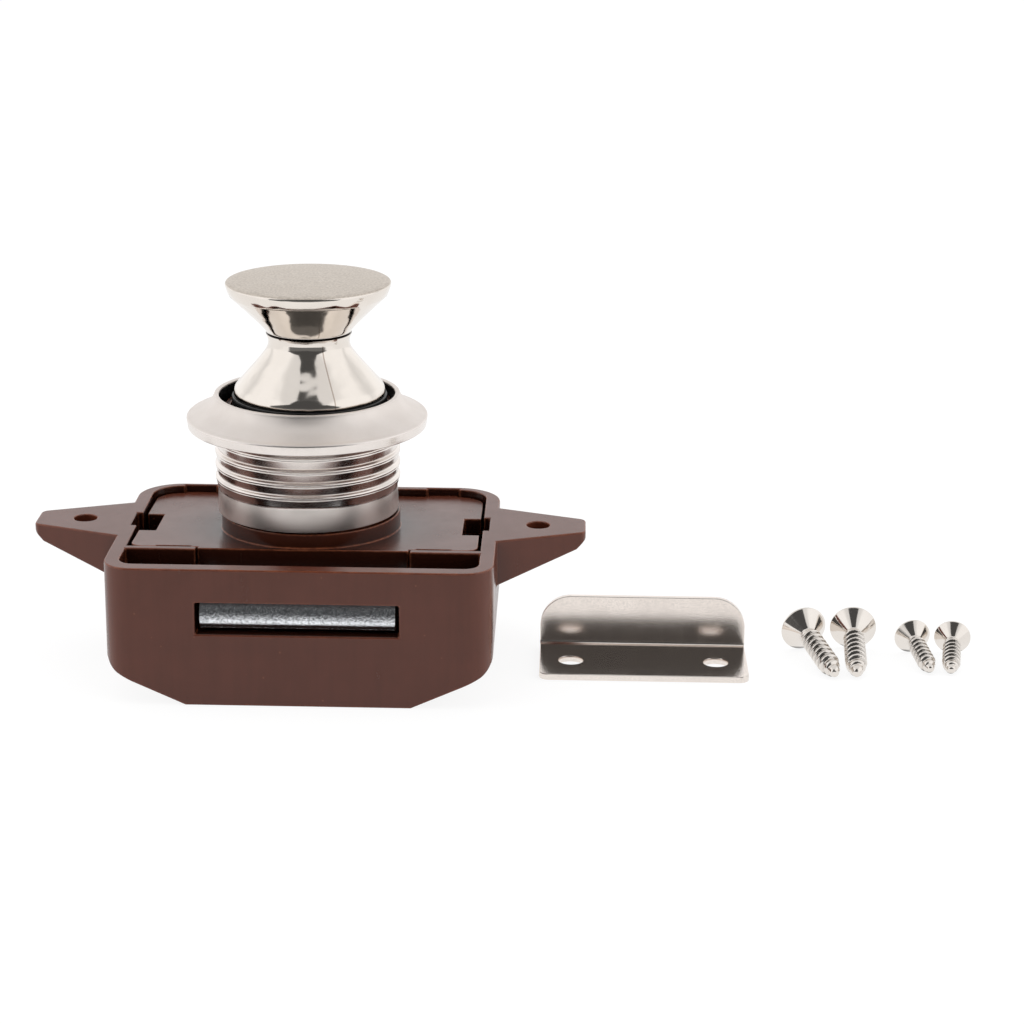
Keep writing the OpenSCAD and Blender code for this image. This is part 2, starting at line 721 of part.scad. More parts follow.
module drive_pins() {
  color(steel) for (side = [0, 1]) mirror([side, 0, 0])
    x_rod(pin_r, stem_bore_r + fit_gap, arm_x0 + pin_reach, 0, pin_z);
}

module knob_screw() {
  color(steel) difference() {
    union() {
      translate([0, 0, knob_screw_z]) cylinder(r = knob_screw_head_r, h = knob_screw_head_h);
      translate([0, 0, knob_screw_z]) cylinder(r = knob_screw_r, h = knob_screw_tip - knob_screw_z);
    }
    for (turn = [0, 90]) translate([0, 0, knob_screw_z]) rotate([0, 0, turn])
      cube([knob_screw_head_r * 1.3, knob_screw_slot, knob_screw_head_h], center = true);
  }
}

module screw_washer() {
  color(steel) translate([0, 0, bore_top - washer_t]) difference() {
    cylinder(r = washer_r, h = washer_t);
    translate([0, 0, -over]) cylinder(r = screw_hole_r + knob_screw_inset, h = washer_t + 2 * over);
    rotate([0, 0, ramp_angle]) translate([0, -washer_slot / 2, -over])
      cube([washer_r * 2, washer_slot, washer_t + 2 * over]);
  }
}

module main_spring() {
  color(steel) translate([0, 0, floor_z])
    coil(main_spring_d, main_wire_d, main_turns, knob_screw_z - floor_z);
}

// The heart-shaped track in the carrier's side, as [y, z]: the wire's tip runs up from
// track_start to track_far, drops back to rest in the island's notch, and returns below it
track_start = [0, latch_z - latch_rise / 2];
track_far = [carrier_travel, latch_z + latch_rise / 2];
track_floor = track_start.y - 3 * track_r;
track_top = track_far.y + 1.05 * track_r;
track_outline = [[-track_r, track_start.y - 1.5 * track_r], [-track_r, track_start.y + track_r],
                 [carrier_travel, track_top], [carrier_travel + track_r, track_top],
                 [carrier_travel + track_r, track_floor], [carrier_travel * 0.4, track_floor]];
island_x = carrier_travel - 1.4 * track_r;
island_outline = [[carrier_travel * 0.3, track_start.y - 0.8 * track_r],
                  [island_x, track_far.y - 1.5 * track_r],
                  [island_x - latch_r, latch_z - 1.2 * track_r],
                  [island_x, latch_z - 1.9 * track_r]];

module bolt_carrier() {
  color(white) difference() {
    union() {
      side_blocks(arm_x0, arm_x1, block_back - over, arm_back, arm_bottom, arm_top);
      block([-arm_x1, block_front, block_bottom], [arm_x1, block_back, block_top]);
      side_blocks(arm_x0, finger_x1, finger_front, finger_back, arm_top - over, finger_top);
      side_blocks(arm_x1 - over, leg_x1, lug_front, lug_back, lug_bottom, lug_top);
    }
    for (side = [0, 1]) mirror([side, 0, 0]) {
      x_track(groove_r, arm_x0 - over, groove_x1, [0, pin_z],
              [carrier_travel, pin_z - press_travel]);
      translate([spring_x, pocket_end, bolt_mid]) rotate([90, 0, 0])
        cylinder(r = pocket_r, h = pocket_end - block_front + over);
    }
    translate([arm_x1 - track_depth, 0, 0]) rotate([90, 0, 90]) linear_extrude(track_depth + over)
      difference() {
        polygon(track_outline);
        polygon(island_outline);
      }
  }
}

// The bolt head's YZ outline, with its round lower front edge
module bolt_outline() {
  r = bolt_edge_r;
  difference() {
    translate([bolt_front, bolt_z0]) square([bolt_len, bolt_t]);
    translate([bolt_front - over, bolt_z0 - over]) square(r + over);
  }
  translate([bolt_front + r, bolt_z0 + r]) circle(r);
}

module latch_bolt() {
  color(zinc) {
    translate([-bolt_x, 0, 0]) rotate([90, 0, 90]) linear_extrude(bolt_w) bolt_outline();
    side_blocks(leg_x0, leg_x1, bolt_back - over, hook_back, leg_z0, leg_z1);
    side_blocks(leg_x0, leg_x1, hook_front, hook_back, lug_bottom, bolt_mid);
  }
}

// A bolt spring on one side, between its pocket and the back of the bolt
module bolt_spring(side) {
  color(steel) translate([side * spring_x, pocket_end, bolt_mid]) rotate([90, 0, 0])
    coil(bolt_spring_d, bolt_wire_d, bolt_turns, pocket_end - bolt_back);
}

module bolt_spring_left() {
  bolt_spring(-1);
}

module bolt_spring_right() {
  bolt_spring(1);
}

module latch_wire() {
  d = [latch_y, latch_z] - track_start;
  color(steel) {
    x_rod(latch_r, arm_x1 - track_depth + fit_gap, latch_x, track_start.x, track_start.y);
    translate([latch_x, track_start.x, track_start.y]) sphere(latch_r);
    translate([latch_x, track_start.x, track_start.y]) rotate([atan2(d.y, d.x) - 90, 0, 0])
      cylinder(r = latch_r, h = norm(d));
    translate([latch_x, latch_y, latch_z]) sphere(latch_r);
    x_rod(latch_r, latch_x, pivot_x1 - pivot_end - guide_gap, latch_y, latch_z);
  }
}

// The leaf spring that keeps the latch wire in its track
module wire_spring() {
  tip_x = latch_x + latch_r + fit_gap;
  tab_y = latch_y - pivot_half;
  color(steel) translate([0, 0, latch_z - leaf_w / 2]) linear_extrude(leaf_w)
    polygon([[tip_x, leaf_touch_y], [tip_x + leaf_tip, leaf_touch_y - leaf_tip],
             [tip_x + leaf_tip + leaf_t, leaf_touch_y - leaf_tip], [tip_x + leaf_t, leaf_touch_y],
             [pivot_x1 + leaf_t, tab_y - leaf_tip], [pivot_x1 + leaf_t, latch_y + pivot_half],
             [pivot_x1, latch_y + pivot_half], [pivot_x1, tab_y - leaf_tip]]);
}

// The strike plate's YZ outline: an L with a round bend
module strike_outline() {
  r = strike_bend_r + strike_t;
  bend = [strike_back - r, r];
  translate([strike_front, 0]) square([strike_back - r - strike_front, strike_t]);
  translate([strike_back - strike_t, r]) square([strike_t, strike_up - r]);
  intersection() {
    translate(bend) difference() {
      circle(r);
      circle(strike_bend_r);
    }
    translate([bend.x, 0]) square(r);
  }
}

module strike_plate() {
  half = strike_w / 2;
  color(nickel) translate([strike_x, 0, -case_h]) difference() {
    intersection() {
      translate([-half, 0, 0]) rotate([90, 0, 90]) linear_extrude(strike_w) strike_outline();
      union() {
        linear_extrude(strike_bend_r + 2 * strike_t)
          round_outline(-half, half, strike_front, strike_back + over, strike_base_r, strike_t / 2);
        translate([0, strike_back + over, 0]) rotate([90, 0, 0]) linear_extrude(4 * strike_t)
          round_outline(-half, half, -over, strike_up, strike_t / 2, strike_corner_r);
      }
    }
    for (x = [-0.5, 0.5]) translate([x * strike_hole_spacing, strike_front + strike_hole_in, -over])
      cylinder(d = strike_hole_d, h = strike_t + 2 * over);
  }
}

// A countersunk self-tapping screw, head up, with its top at z = 0
module screw(d, head_d, length) {
  r = d / 2;
  core = r * 0.72;
  head_h = (head_d - d) * 0.46;
  tip_l = length * tip_share;
  pitch = d * 0.38;
  rim_h = d * rim_share;
  threads = floor((length - head_h - tip_l) / pitch);
  profile = [for (i = [0:threads - 1]) let (z = -head_h - rim_h - i * pitch)
    each [[core, z], [r, z - pitch * 0.4], [r, z - pitch * 0.6], [core, z - pitch]]];
  difference() {
    rotate_extrude() polygon(concat([[0, 0], [head_d / 2, 0], [head_d / 2, -rim_h],
                                     [core, -head_h - rim_h / 2]], profile,
                                    [[core, tip_l - length], [0.1 * r, -length], [0, -length]]));
    for (turn = [0, 90]) rotate([0, 0, turn])
      cube([head_d * 0.52, head_d * 0.13, head_h * 1.1], center = true);
  }
}

// A screw lying on its head and thread, with its head's centre above [x, y]
module lying_screw(d, head_d, length, x, y, turn) {
  rim_h = d * rim_share;
  lean = atan2((head_d - d) / 2, length * (1 - tip_share) - rim_h);
  color(nickel) translate([x, y, head_d / 2 * cos(lean) + rim_h * sin(lean) - case_h])
    rotate([0, 0, turn]) rotate([lean - 90, 0, 0]) screw(d, head_d, length);
}

module housing_screw_left() {
  lying_screw(ear_screw_d, ear_screw_head_d, ear_screw_l,
              screws_x + ear_screw_head_d / 2, ear_screw_left_y, ear_screw_left_turn);
}

module housing_screw_right() {
  lying_screw(ear_screw_d, ear_screw_head_d, ear_screw_l,
              screws_x + ear_screw_head_d / 2 + ear_screw_gap, ear_screw_right_y,
              ear_screw_right_turn);
}

module strike_screw_left() {
  lying_screw(strike_screw_d, strike_screw_head_d, strike_screw_l,
              strike_screws_x + strike_screw_head_d / 2, strike_screw_left_y, strike_screw_left_turn);
}

module strike_screw_right() {
  lying_screw(strike_screw_d, strike_screw_head_d, strike_screw_l,
              strike_screws_x + strike_screw_head_d / 2 + strike_screw_gap, strike_screw_right_y,
              strike_screw_right_turn);
}

housing();
cover();
wire_spring();
collar();
knob();
plunger();
drive_pins();
knob_screw();
screw_washer();
main_spring();
bolt_carrier();
latch_bolt();
bolt_spring_left();
bolt_spring_right();
latch_wire();
strike_plate();
housing_screw_left();
housing_screw_right();
strike_screw_left();
strike_screw_right();
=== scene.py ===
"""Dresses the push button cabinet lock: its meshes, finishes, floor, light and camera."""

import logging
import math
from collections.abc import Callable, Iterable, Sequence
from dataclasses import dataclass, field
from enum import Enum
from typing import Any

import bmesh
import bpy
from mathutils import Matrix, Vector


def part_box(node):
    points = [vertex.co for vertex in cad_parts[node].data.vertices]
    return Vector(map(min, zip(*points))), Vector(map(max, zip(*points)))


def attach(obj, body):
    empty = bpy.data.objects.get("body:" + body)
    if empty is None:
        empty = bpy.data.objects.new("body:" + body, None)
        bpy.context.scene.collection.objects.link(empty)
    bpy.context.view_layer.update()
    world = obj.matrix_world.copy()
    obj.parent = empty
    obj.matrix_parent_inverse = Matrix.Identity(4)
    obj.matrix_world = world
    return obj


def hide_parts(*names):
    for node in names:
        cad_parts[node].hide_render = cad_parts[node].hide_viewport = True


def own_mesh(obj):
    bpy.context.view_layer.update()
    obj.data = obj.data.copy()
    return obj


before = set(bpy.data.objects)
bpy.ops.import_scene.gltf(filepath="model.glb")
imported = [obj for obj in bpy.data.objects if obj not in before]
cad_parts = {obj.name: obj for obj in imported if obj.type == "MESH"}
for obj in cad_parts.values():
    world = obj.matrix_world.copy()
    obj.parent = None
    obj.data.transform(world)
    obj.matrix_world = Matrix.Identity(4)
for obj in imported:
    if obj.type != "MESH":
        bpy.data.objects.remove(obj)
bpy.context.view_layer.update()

LOG = logging.getLogger("cabinet_lock")

MM = 0.001
PER_M = 1000.0
FLOOR_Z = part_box("housing")[0].z
WHITE_LIGHT = (1.0, 1.0, 1.0, 1.0)

# Limits of the mesh work: points this close are one, and faces this level are one
WELD_M = 2e-6
ON_AXIS_MM = 1e-6
LEVEL_DEG = 1.0
SOFT_CREASE_DEG = 40.0
FLAT_FACE_WEIGHT = 90

Colour = tuple[float, float, float]
Place = tuple[float, float, float]
Pair = tuple[float, float]
Profile = list[Pair]
Socket = bpy.types.NodeSocket
Sockets = dict[str, Socket]


class Lustre(Enum):
    """How a metal surface was worked before it was plated."""

    POLISHED = "polished"
    SATIN = "satin"
    BLASTED = "blasted"
    BARREL = "barrel plated"
    ROLLED = "rolled sheet"


class Seat(Enum):
    """The CAD bodies that the pieces ride on."""

    CASE = "case"
    COLLAR = "collar"
    KNOB = "knob"
    CARRIER = "carrier"
    BOLT = "bolt"
    LATCH = "latch"
    STRIKE = "strike"
    HOUSING_SCREWS = "housing_screws"
    STRIKE_SCREWS = "strike_screws"


# Shader wiring


class Wiring:
    """Adds nodes to one node tree and joins them."""

    def __init__(self, tree: bpy.types.NodeTree) -> None:
        """Keeps the tree that the nodes go into."""
        self.tree = tree

    def node(self, kind: str, settings: dict[str, Any] | None = None, **inputs: Any) -> bpy.types.Node:
        """Adds a node.

        Args:
            kind: The node's type, without the ShaderNode prefix.
            settings: Properties of the node itself.
            inputs: Values or output sockets, by the input's name with _ for a space.

        Returns:
            The new node.
        """
        made = self.tree.nodes.new("ShaderNode" + kind)
        for name, value in (settings or {}).items():
            setattr(made, name, value)
        for name, value in inputs.items():
            self.feed(made.inputs[name.replace("_", " ")], value)
        return made

    def feed(self, socket: Socket, value: Any) -> None:
        """Links an output socket to an input, or sets a plain value on it.

        Args:
            socket: The input.
            value: An output socket or a plain value.
        """
        if isinstance(value, Socket):
            self.tree.links.new(value, socket)
        else:
            socket.default_value = value

    def math(self, operation: str, *terms: Any, clamp: bool = False) -> Socket:
        """Adds a Math node.

        Args:
            operation: The node's operation, such as MULTIPLY.
            terms: Its values or sockets, in order.
            clamp: Whether the result is kept from 0 to 1.

        Returns:
            The node's output.
        """
        made = self.node("Math", {"operation": operation, "use_clamp": clamp})
        for socket, term in zip(made.inputs, terms):
            self.feed(socket, term)
        return made.outputs[0]

    def times(self, first: Any, second: Any) -> Socket:
        """Multiplies two values."""
        return self.math("MULTIPLY", first, second)

    def plus(self, first: Any, second: Any) -> Socket:
        """Adds two values."""
        return self.math("ADD", first, second)

    def span(self, value: Any, low: float, high: float, to_low: float = 0.0, to_high: float = 1.0) -> Socket:
        """Maps a value smoothly from one range to another and stops at its ends.

        Args:
            value: The socket to map.
            low: Where the range starts.
            high: Where the range ends.
            to_low: The result at low.
            to_high: The result at high.

        Returns:
            The mapped value.
        """
        made = self.node("MapRange", {"interpolation_type": "SMOOTHSTEP"}, Value=value, From_Min=low,
                         From_Max=high, To_Min=to_low, To_Max=to_high)
        return made.outputs["Result"]

    def fall(self, value: Any, low: float, high: float) -> Socket:
        """Maps a value smoothly from 1 at low to 0 at high."""
        return self.span(value, low, high, 1.0, 0.0)

    def blend(self, share: Any, first: Any, second: Any) -> Socket:
        """Mixes two colours.

        Args:
            share: How much of the second colour shows, from 0 to 1.
            first: A colour or colour socket.
            second: A colour or colour socket.

        Returns:
            The mixed colour.
        """
        made = self.node("Mix", {"data_type": "RGBA"})
        self.feed(made.inputs[0], share)
        for socket, colour in ((made.inputs[6], first), (made.inputs[7], second)):
            self.feed(socket, colour if isinstance(colour, Socket) else (*colour, 1.0))
        return made.outputs[2]

    def place_mm(self, stretch: Sequence[float] = (1.0, 1.0, 1.0)) -> Socket:
        """Gives the place on the piece in millimetres.

        Args:
            stretch: A factor for each axis.

        Returns:
            A vector socket.
        """
        place = self.node("TexCoord").outputs["Object"]
        scaled = self.node("VectorMath", {"operation": "MULTIPLY"})
        self.feed(scaled.inputs[0], place)
        self.feed(scaled.inputs[1], tuple(PER_M * s for s in stretch))
        return scaled.outputs[0]

    def length(self, first: Any, second: Any) -> Socket:
        """Gives the length of a vector from its two parts."""
        return self.math("SQRT", self.plus(self.times(first, first), self.times(second, second)))

    def noise(self, place: Any, scale: Any, detail: float = 2.0, roughness: float = 0.5) -> Socket:
        """Adds a noise texture.

        Args:
            place: The vector that it reads.
            scale: Features per millimetre.
            detail: How many finer layers it has.
            roughness: How strong the finer layers are.

        Returns:
            The noise, from 0 to 1.
        """
        made = self.node("TexNoise", Vector=place, Scale=scale, Detail=detail, Roughness=roughness)
        return made.outputs[0]


class SharedEffects:
    """Shader node groups that more than one finish uses, each built once.

    Each effect has a fill, which adds the group's nodes. A fill takes the group's wiring and its inputs
    by name, and gives a socket for each output.
    """

    STREAK_STRETCH = (1.0, 1.0, 0.06)
    SCRATCH_STRETCHES = ((1.0, 0.08, 0.08), (0.1, 1.0, 0.07))
    RARE_SPECK = 0.93
    EDGE_SAMPLES = 6
    EDGE_TURN = (0.01, 0.13)
    EDGE_PATCH_SCALE = 1.1
    LEAST_EDGE_PATCH = 0.45
    RECESS_SAMPLES = 8
    RECESS_OPEN = (0.4, 0.93)

    def __init__(self) -> None:
        """Starts with no group built."""
        self._built: dict[str, bpy.types.NodeTree] = {}

    def _group(self, name: str, inputs: dict[str, float], outputs: Sequence[str],
               fill: Callable[[Wiring, Sockets], Sockets]) -> bpy.types.NodeTree:
        """Builds a group, or gives the one already built.

        Args:
            name: The group's name.
            inputs: Its inputs and their default values.
            outputs: The names of its outputs.
            fill: Adds the nodes, and gives a socket for each output.

        Returns:
            The group's node tree.
        """
        if name in self._built:
            return self._built[name]
        tree = bpy.data.node_groups.new(name, "ShaderNodeTree")
        for label, value in inputs.items():
            socket = tree.interface.new_socket(label, in_out="INPUT", socket_type="NodeSocketFloat")
            socket.default_value = value
        for label in outputs:
            tree.interface.new_socket(label, in_out="OUTPUT", socket_type="NodeSocketFloat")
        wiring = Wiring(tree)
        given = tree.nodes.new("NodeGroupInput")
        result = tree.nodes.new("NodeGroupOutput")
        for label, socket in fill(wiring, {s.name: s for s in given.outputs if s.name}).items():
            tree.links.new(socket, result.inputs[label])
        self._built[name] = tree
        return tree

    def clouds(self) -> bpy.types.NodeTree:
        """Gives the slow change of tone over a surface."""
        return self._group("tone_clouds", {"Scale": 0.2}, ["Tone"], self._fill_clouds)

    def _fill_clouds(self, w: Wiring, given: Sockets) -> Sockets:
        """Adds one soft noise."""
        soft = w.noise(w.place_mm(), given["Scale"], detail=3.0, roughness=0.55)
        return {"Tone": w.span(soft, low=0.3, high=0.7)}

    def grain(self) -> bpy.types.NodeTree:
        """Gives fine grain as a height, and sparse specks as a mask."""
        inputs = {"Scale": 6.0, "Speck Scale": 1.2}
        return self._group("fine_grain", inputs, ["Height", "Specks"], self._fill_grain)

    def _fill_grain(self, w: Wiring, given: Sockets) -> Sockets:
        """Adds fine noise and thinly sown cells.

        Args:
            w: The group's wiring.
            given: Its inputs.

        Returns:
            The height and the mask of specks.
        """
        place = w.place_mm()
        height = w.noise(place, given["Scale"], detail=4.0, roughness=0.65)
        cells = w.node("TexVoronoi", Vector=place, Scale=given["Speck Scale"])
        sown = w.node("SeparateColor", Color=cells.outputs["Color"]).outputs[0]
        rare = w.math("GREATER_THAN", sown, self.RARE_SPECK)
        dot = w.fall(cells.outputs["Distance"], low=0.06, high=0.16)
        return {"Height": height, "Specks": w.times(rare, dot)}

    def streaks(self) -> bpy.types.NodeTree:
        """Gives faint upright flow streaks."""
        return self._group("flow_streaks", {"Scale": 0.9}, ["Streaks"], self._fill_streaks)

    def _fill_streaks(self, w: Wiring, given: Sockets) -> Sockets:
        """Adds noise drawn out along Z."""
        drawn = w.noise(w.place_mm(self.STREAK_STRETCH), given["Scale"], detail=3.0, roughness=0.6)
        return {"Streaks": w.span(drawn, low=0.35, high=0.7)}

    def edges(self) -> bpy.types.NodeTree:
        """Gives a mask that is 1 along sharp edges: wear on metal, a painted highlight on plastic."""
        return self._group("edge_wear", {"Radius": 0.0004}, ["Mask"], self._fill_edges)

    def _fill_edges(self, w: Wiring, given: Sockets) -> Sockets:
        """Compares the rounded normal with the true one.

        Args:
            w: The group's wiring.
            given: Its inputs.

        Returns:
            The mask, broken up in patches.
        """
        rounded_off = w.node("Bevel", {"samples": self.EDGE_SAMPLES}, Radius=given["Radius"])
        plain = w.node("NewGeometry").outputs["Normal"]
        turn = w.node("VectorMath", {"operation": "DOT_PRODUCT"})
        w.feed(turn.inputs[0], rounded_off.outputs[0])
        w.feed(turn.inputs[1], plain)
        away = w.math("SUBTRACT", 1.0, turn.outputs["Value"])
        broken = w.noise(w.place_mm(), self.EDGE_PATCH_SCALE, detail=3.0, roughness=0.6)
        patchy = w.span(broken, low=0.35, high=0.65, to_low=self.LEAST_EDGE_PATCH)
        return {"Mask": w.math("MULTIPLY", w.span(away, *self.EDGE_TURN), patchy, clamp=True)}

    def recesses(self) -> bpy.types.NodeTree:
        """Gives the mask of painted shade, which is 1 deep in slots and corners."""
        return self._group("recess_shade", {"Reach": 0.006}, ["Mask"], self._fill_recesses)

    def _fill_recesses(self, w: Wiring, given: Sockets) -> Sockets:
        """Measures how open the surface is to its surroundings."""
        around = w.node("AmbientOcclusion", {"samples": self.RECESS_SAMPLES}, Distance=given["Reach"])
        return {"Mask": w.fall(around.outputs["AO"], *self.RECESS_OPEN)}

    def rings(self) -> bpy.types.NodeTree:
        """Gives the fine rings that turning leaves round the Z axis."""
        return self._group("turned_rings", {"Scale": 5.0}, ["Height"], self._fill_rings)

    def _fill_rings(self, w: Wiring, given: Sockets) -> Sockets:
        """Adds noise that reads only the radius and the height.

        Args:
            w: The group's wiring.
            given: Its inputs.

        Returns:
            The height.
        """
        apart = w.node("SeparateXYZ", Vector=w.place_mm())
        radius = w.length(apart.outputs["X"], apart.outputs["Y"])
        around = w.node("CombineXYZ", X=radius, Z=apart.outputs["Z"]).outputs[0]
        return {"Height": w.noise(around, given["Scale"], detail=3.0, roughness=0.7)}

    def scratches(self) -> bpy.types.NodeTree:
        """Gives thin scratches that run two ways."""
        return self._group("fine_scratches", {"Scale": 3.0}, ["Mask"], self._fill_scratches)

    def _fill_scratches(self, w: Wiring, given: Sockets) -> Sockets:
        """Adds two drawn-out noises and keeps their peaks.

        Args:
            w: The group's wiring.
            given: Its inputs.

        Returns:
            The mask.
        """
        masks = []
        for stretch in self.SCRATCH_STRETCHES:
            drawn = w.noise(w.place_mm(stretch), given["Scale"], detail=2.0, roughness=0.6)
            masks.append(w.span(drawn, low=0.62, high=0.74))
        return {"Mask": w.math("MAXIMUM", *masks)}


EFFECTS = SharedEffects()


def new_material(name: str) -> tuple[bpy.types.Material, Wiring, bpy.types.Node]:
    """Makes an empty material.

    Args:
        name: The material's name.

    Returns:
        The material, its wiring and its Principled shader.
    """
    material = bpy.data.materials.new(name)
    material.use_nodes = True
    wiring = Wiring(material.node_tree)
    shader = material.node_tree.nodes["Principled BSDF"]
    return material, wiring, shader


def place_group(wiring: Wiring, tree: bpy.types.NodeTree, **inputs: float) -> bpy.types.Node:
    """Puts a shared effect into a material.

    Args:
        wiring: The material's wiring.
        tree: The effect's group.
        inputs: Its own values here, by name with _ for a space.

    Returns:
        The group node.
    """
    made = wiring.node("Group", {"node_tree": tree})
    for name, value in inputs.items():
        wiring.feed(made.inputs[name.replace("_", " ")], value)
    return made


def dimmed(colour: Colour, share: float) -> Colour:
    """Gives a colour at a share of its brightness."""
    return tuple(share * c for c in colour)


# Finishes


@dataclass(frozen=True)
class MouldedPlastic:
    """Semi-gloss moulded plastic with flow streaks, fine grain, painted recess shade and painted edge
    highlights.

    Scales are in features per millimetre. Edge radius, grain depth and recess reach are in metres, and
    the places where the painted shade of recesses starts and ends are in millimetres.
    """

    name: str
    colour: Colour
    shade: Colour
    edge: Colour
    roughness: float = 0.34
    edge_share: float = 0.5
    edge_radius: float = 0.00045
    tone_scale: float = 0.16
    streak_scale: float = 0.8
    streak_share: float = 0.4
    grain_scale: float = 7.0
    grain_height: float = 0.06
    grain_depth: float = 0.00003
    grain_rough: float = 0.04
    rough_spread: float = 0.08
    speck_scale: float = 0.9
    speck_share: float = 0.25
    recess_shade_share: float = 0.95
    recess_shade_tone: float = 0.15
    recess_shade_reach: float = 0.014
    deep_from_z: float = -13.0
    deep_fade_z: float = 4.0
    deep_to_x: float = 27.0
    deep_fade_x: float = 1.0
    ior: float = 1.46

    def build(self) -> bpy.types.Material:
        """Makes the material.

        Returns:
            The material.
        """
        material, w, shader = new_material(self.name)
        tone = place_group(w, EFFECTS.clouds(), Scale=self.tone_scale).outputs["Tone"]
        streaks = place_group(w, EFFECTS.streaks(), Scale=self.streak_scale).outputs["Streaks"]
        grain = place_group(w, EFFECTS.grain(), Scale=self.grain_scale, Speck_Scale=self.speck_scale)
        edge = place_group(w, EFFECTS.edges(), Radius=self.edge_radius).outputs["Mask"]
        height = grain.outputs["Height"]
        uneven = w.math("ADD", w.times(tone, 1.0 - self.streak_share), w.times(streaks, self.streak_share),
                        clamp=True)
        body = self.painted_recess_shade(w, w.blend(uneven, self.colour, self.shade))
        dusty = w.blend(w.times(grain.outputs["Specks"], self.speck_share), body, self.edge)
        # Painted highlight: the paler edge colour lightens the rounded edges; the same colour marks dust
        # specks
        w.feed(shader.inputs["Base Color"], w.blend(w.times(edge, self.edge_share), dusty, self.edge))
        rough = w.plus(w.times(uneven, self.rough_spread), self.roughness - self.rough_spread / 2)
        w.feed(shader.inputs["Roughness"], w.plus(rough, w.times(height, self.grain_rough)))
        bump = w.node("Bump", Strength=self.grain_height, Distance=self.grain_depth, Height=height)
        w.feed(shader.inputs["Normal"], bump.outputs[0])
        shader.inputs["IOR"].default_value = self.ior
        return material

    def painted_recess_shade(self, w: Wiring, body: Socket) -> Socket:
        """Paints shade into the colour deep in slots and corners, above the foot and between the ears.

        Args:
            w: The material's wiring.
            body: The colour before.

        Returns:
            The colour after.
        """
        # Painted shade: ambient occlusion darkens the colour in slots and corners
        deep = place_group(w, EFFECTS.recesses(), Reach=self.recess_shade_reach).outputs["Mask"]
        place = w.node("SeparateXYZ", Vector=w.place_mm())
        above_foot = w.span(place.outputs["Z"], self.deep_from_z, self.deep_from_z + self.deep_fade_z)
        aside = w.math("ABSOLUTE", place.outputs["X"])
        off_ears = w.fall(aside, self.deep_to_x, self.deep_to_x + self.deep_fade_x)
        shaded = w.times(w.times(deep, w.times(above_foot, off_ears)), self.recess_shade_share)
        return w.blend(shaded, body, dimmed(self.shade, self.recess_shade_tone))


@dataclass(frozen=True)
class Texture:
    """A worked metal surface: its roughness, and its grain's strength, scale and depth in metres."""

    roughness: float
    grain: float
    scale: float
    depth: float


TEXTURES = {
    Lustre.POLISHED: Texture(roughness=0.09, grain=0.015, scale=9.0, depth=0.00002),
    Lustre.SATIN: Texture(roughness=0.2, grain=0.05, scale=9.0, depth=0.00002),
    Lustre.BLASTED: Texture(roughness=0.33, grain=0.14, scale=6.0, depth=0.00002),
    Lustre.BARREL: Texture(roughness=0.15, grain=1.0, scale=3.0, depth=0.00006),
    Lustre.ROLLED: Texture(roughness=0.14, grain=0.3, scale=5.5, depth=0.00003),
}


